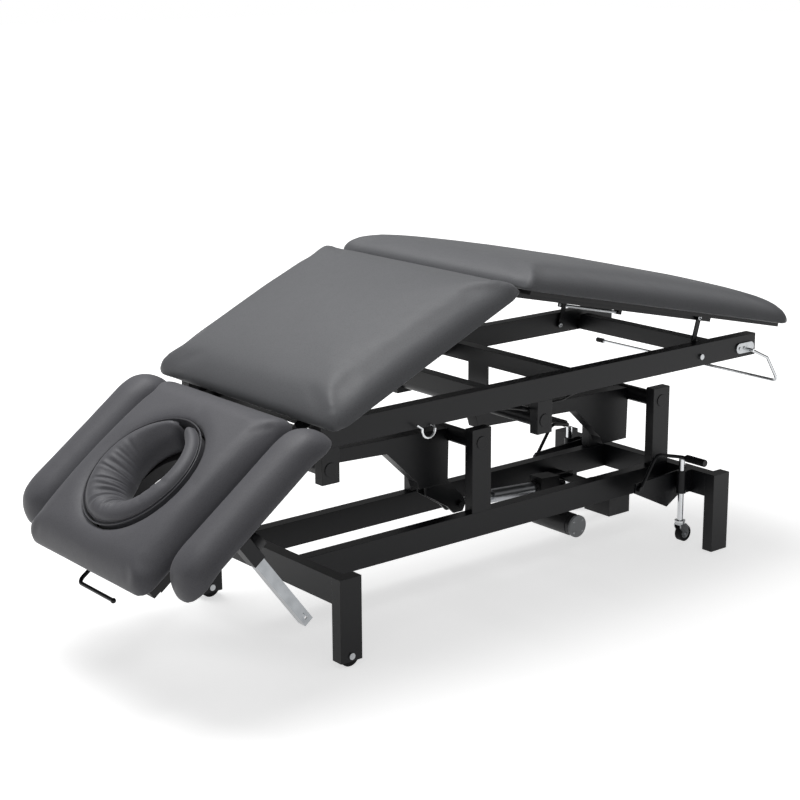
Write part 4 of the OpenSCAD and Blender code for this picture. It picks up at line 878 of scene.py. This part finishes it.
def discAcross(name, x, y0, y1, z, radius, soft, body, finish):
    # a round piece lying across the table, with softened rims
    steps, rim = 48, 0.3
    turn = [2 * math.pi * k / steps for k in range(steps)]
    rows = [[((x + r * math.cos(a)) * mm, y * mm, (z + r * math.sin(a)) * mm) for a in turn] for y, r in (
        (y0, radius - soft), (y0 + soft * rim, radius - soft * rim), (y0 + soft, radius),
        (y1 - soft, radius), (y1 - soft * rim, radius - soft * rim), (y1, radius - soft))]
    obj = newObject(name, closedSkin(name, rows, (x * mm, y0 * mm, z * mm), (x * mm, y1 * mm, z * mm)))
    obj.data.materials.append(finishes[finish])
    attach(obj, body)


wheelShape = {"x": 699, "y": 203, "z": 35, "half": 8, "hub": 12.5, "cover": 0.9, "soft": 0.4}
for side, label in ((-1, "near"), (1, "far")):
    for k in (-1, 1):
        inner = wheelShape["y"] * side + wheelShape["half"] * k
        outer = inner + wheelShape["cover"] * k
        discAcross(label + ("OuterHub" if k == side else "InnerHub"), wheelShape["x"], min(inner, outer),
                   max(inner, outer), wheelShape["z"], wheelShape["hub"], wheelShape["soft"],
                   label + "_caster_wheel", "hub")
tipShape = {"x": 912, "z": 420.5, "from": 297, "to": 326, "radius": 6.6, "soft": 1.6}
discAcross("rodTip", tipShape["x"], tipShape["from"], tipShape["to"], tipShape["z"],
           tipShape["radius"], tipShape["soft"], "roll_holder", "rubber")
print("fixings done")

# floor, backdrop and light


def makeStage():
    reach = studio["floorReach"]
    corners = [(-reach, -reach, 0), (reach, -reach, 0), (reach, reach, 0), (-reach, reach, 0)]
    floor = newObject("floor", meshOf("floor", corners, [(0, 1, 2, 3)], smooth=False))
    material = bpy.data.materials.new("pale_floor")
    material.use_nodes = True
    tree = material.node_tree
    tree.nodes.clear()
    seen = addNode(tree, "ShaderNodeLightPath")
    eye = addNode(tree, "ShaderNodeMath", {"operation": "MAXIMUM"}, {
        0: seen.outputs["Is Camera Ray"], 1: seen.outputs["Is Glossy Ray"]})
    # light bounced up from the floor is damped, as in the photo, where the rolls are dark below
    matt = addNode(tree, "ShaderNodeBsdfDiffuse", None, {
        "Color": blendOf(tree, seen.outputs["Is Diffuse Ray"], paint("#f2f2f2"), paint("#8e8e8e"))})
    place = addNode(tree, "ShaderNodeTexCoord")
    away = addNode(tree, "ShaderNodeVectorMath", {"operation": "LENGTH"}, {0: place.outputs["Object"]})
    bright = rangeOf(tree, away.outputs["Value"], studio["floorNear"], studio["floorFar"], 1.0, 3.0)
    glow = addNode(tree, "ShaderNodeEmission", None, {"Color": (1, 1, 1, 1), "Strength": bright})
    none = addNode(tree, "ShaderNodeEmission", None, {"Color": (0, 0, 0, 1), "Strength": 0.0})
    extra = addNode(tree, "ShaderNodeMixShader", None, {
        0: eye.outputs[0], 1: none.outputs[0], 2: glow.outputs[0]})
    both = addNode(tree, "ShaderNodeAddShader", None, {0: matt.outputs[0], 1: extra.outputs[0]})
    addNode(tree, "ShaderNodeOutputMaterial", None, {"Surface": both.outputs[0]})
    floor.data.materials.append(material)
    world = bpy.data.worlds.new("studio")
    scene.world = world
    world.use_nodes = True
    tree = world.node_tree
    tree.nodes.clear()
    seen = addNode(tree, "ShaderNodeLightPath")
    first = addNode(tree, "ShaderNodeMath", {"operation": "MAXIMUM"}, {
        0: seen.outputs["Is Camera Ray"], 1: seen.outputs["Is Transmission Ray"]})
    lit = addNode(tree, "ShaderNodeBackground", None, {"Color": (1, 1, 1, 1), "Strength": studio["ambient"]})
    white = addNode(tree, "ShaderNodeBackground", None, {"Color": (1, 1, 1, 1), "Strength": 1.0})
    mixed = addNode(tree, "ShaderNodeMixShader", None, {
        0: first.outputs[0], 1: lit.outputs[0], 2: white.outputs[0]})
    addNode(tree, "ShaderNodeOutputWorld", None, {"Surface": mixed.outputs[0]})


studio = {
    "ambient": 0.23, "floorNear": 0.62, "floorFar": 1.0, "floorReach": 30,  # metres
    "lamps": [  # place, aim (metres), size (metres), power (watts)
        ((-0.5, 1.1, 4.2), (0.0, 0.0, 0.4), 3.2, 128),
        ((-3.8, -2.6, 2.4), (-0.2, 0.0, 0.4), 2.4, 9),
    ],
}


def addLamp(number, place, aim, size, power):
    data = bpy.data.lights.new("softbox%d" % number, "AREA")
    data.shape, data.size, data.energy = "SQUARE", size, power
    lamp = bpy.data.objects.new(data.name, data)
    scene.collection.objects.link(lamp)
    lamp.location = place
    lamp.rotation_euler = (Vector(aim) - Vector(place)).to_track_quat("-Z", "Y").to_euler()


makeStage()
for number, lamp in enumerate(studio["lamps"]):
    addLamp(number, *lamp)
scene.view_settings.view_transform = "Standard"
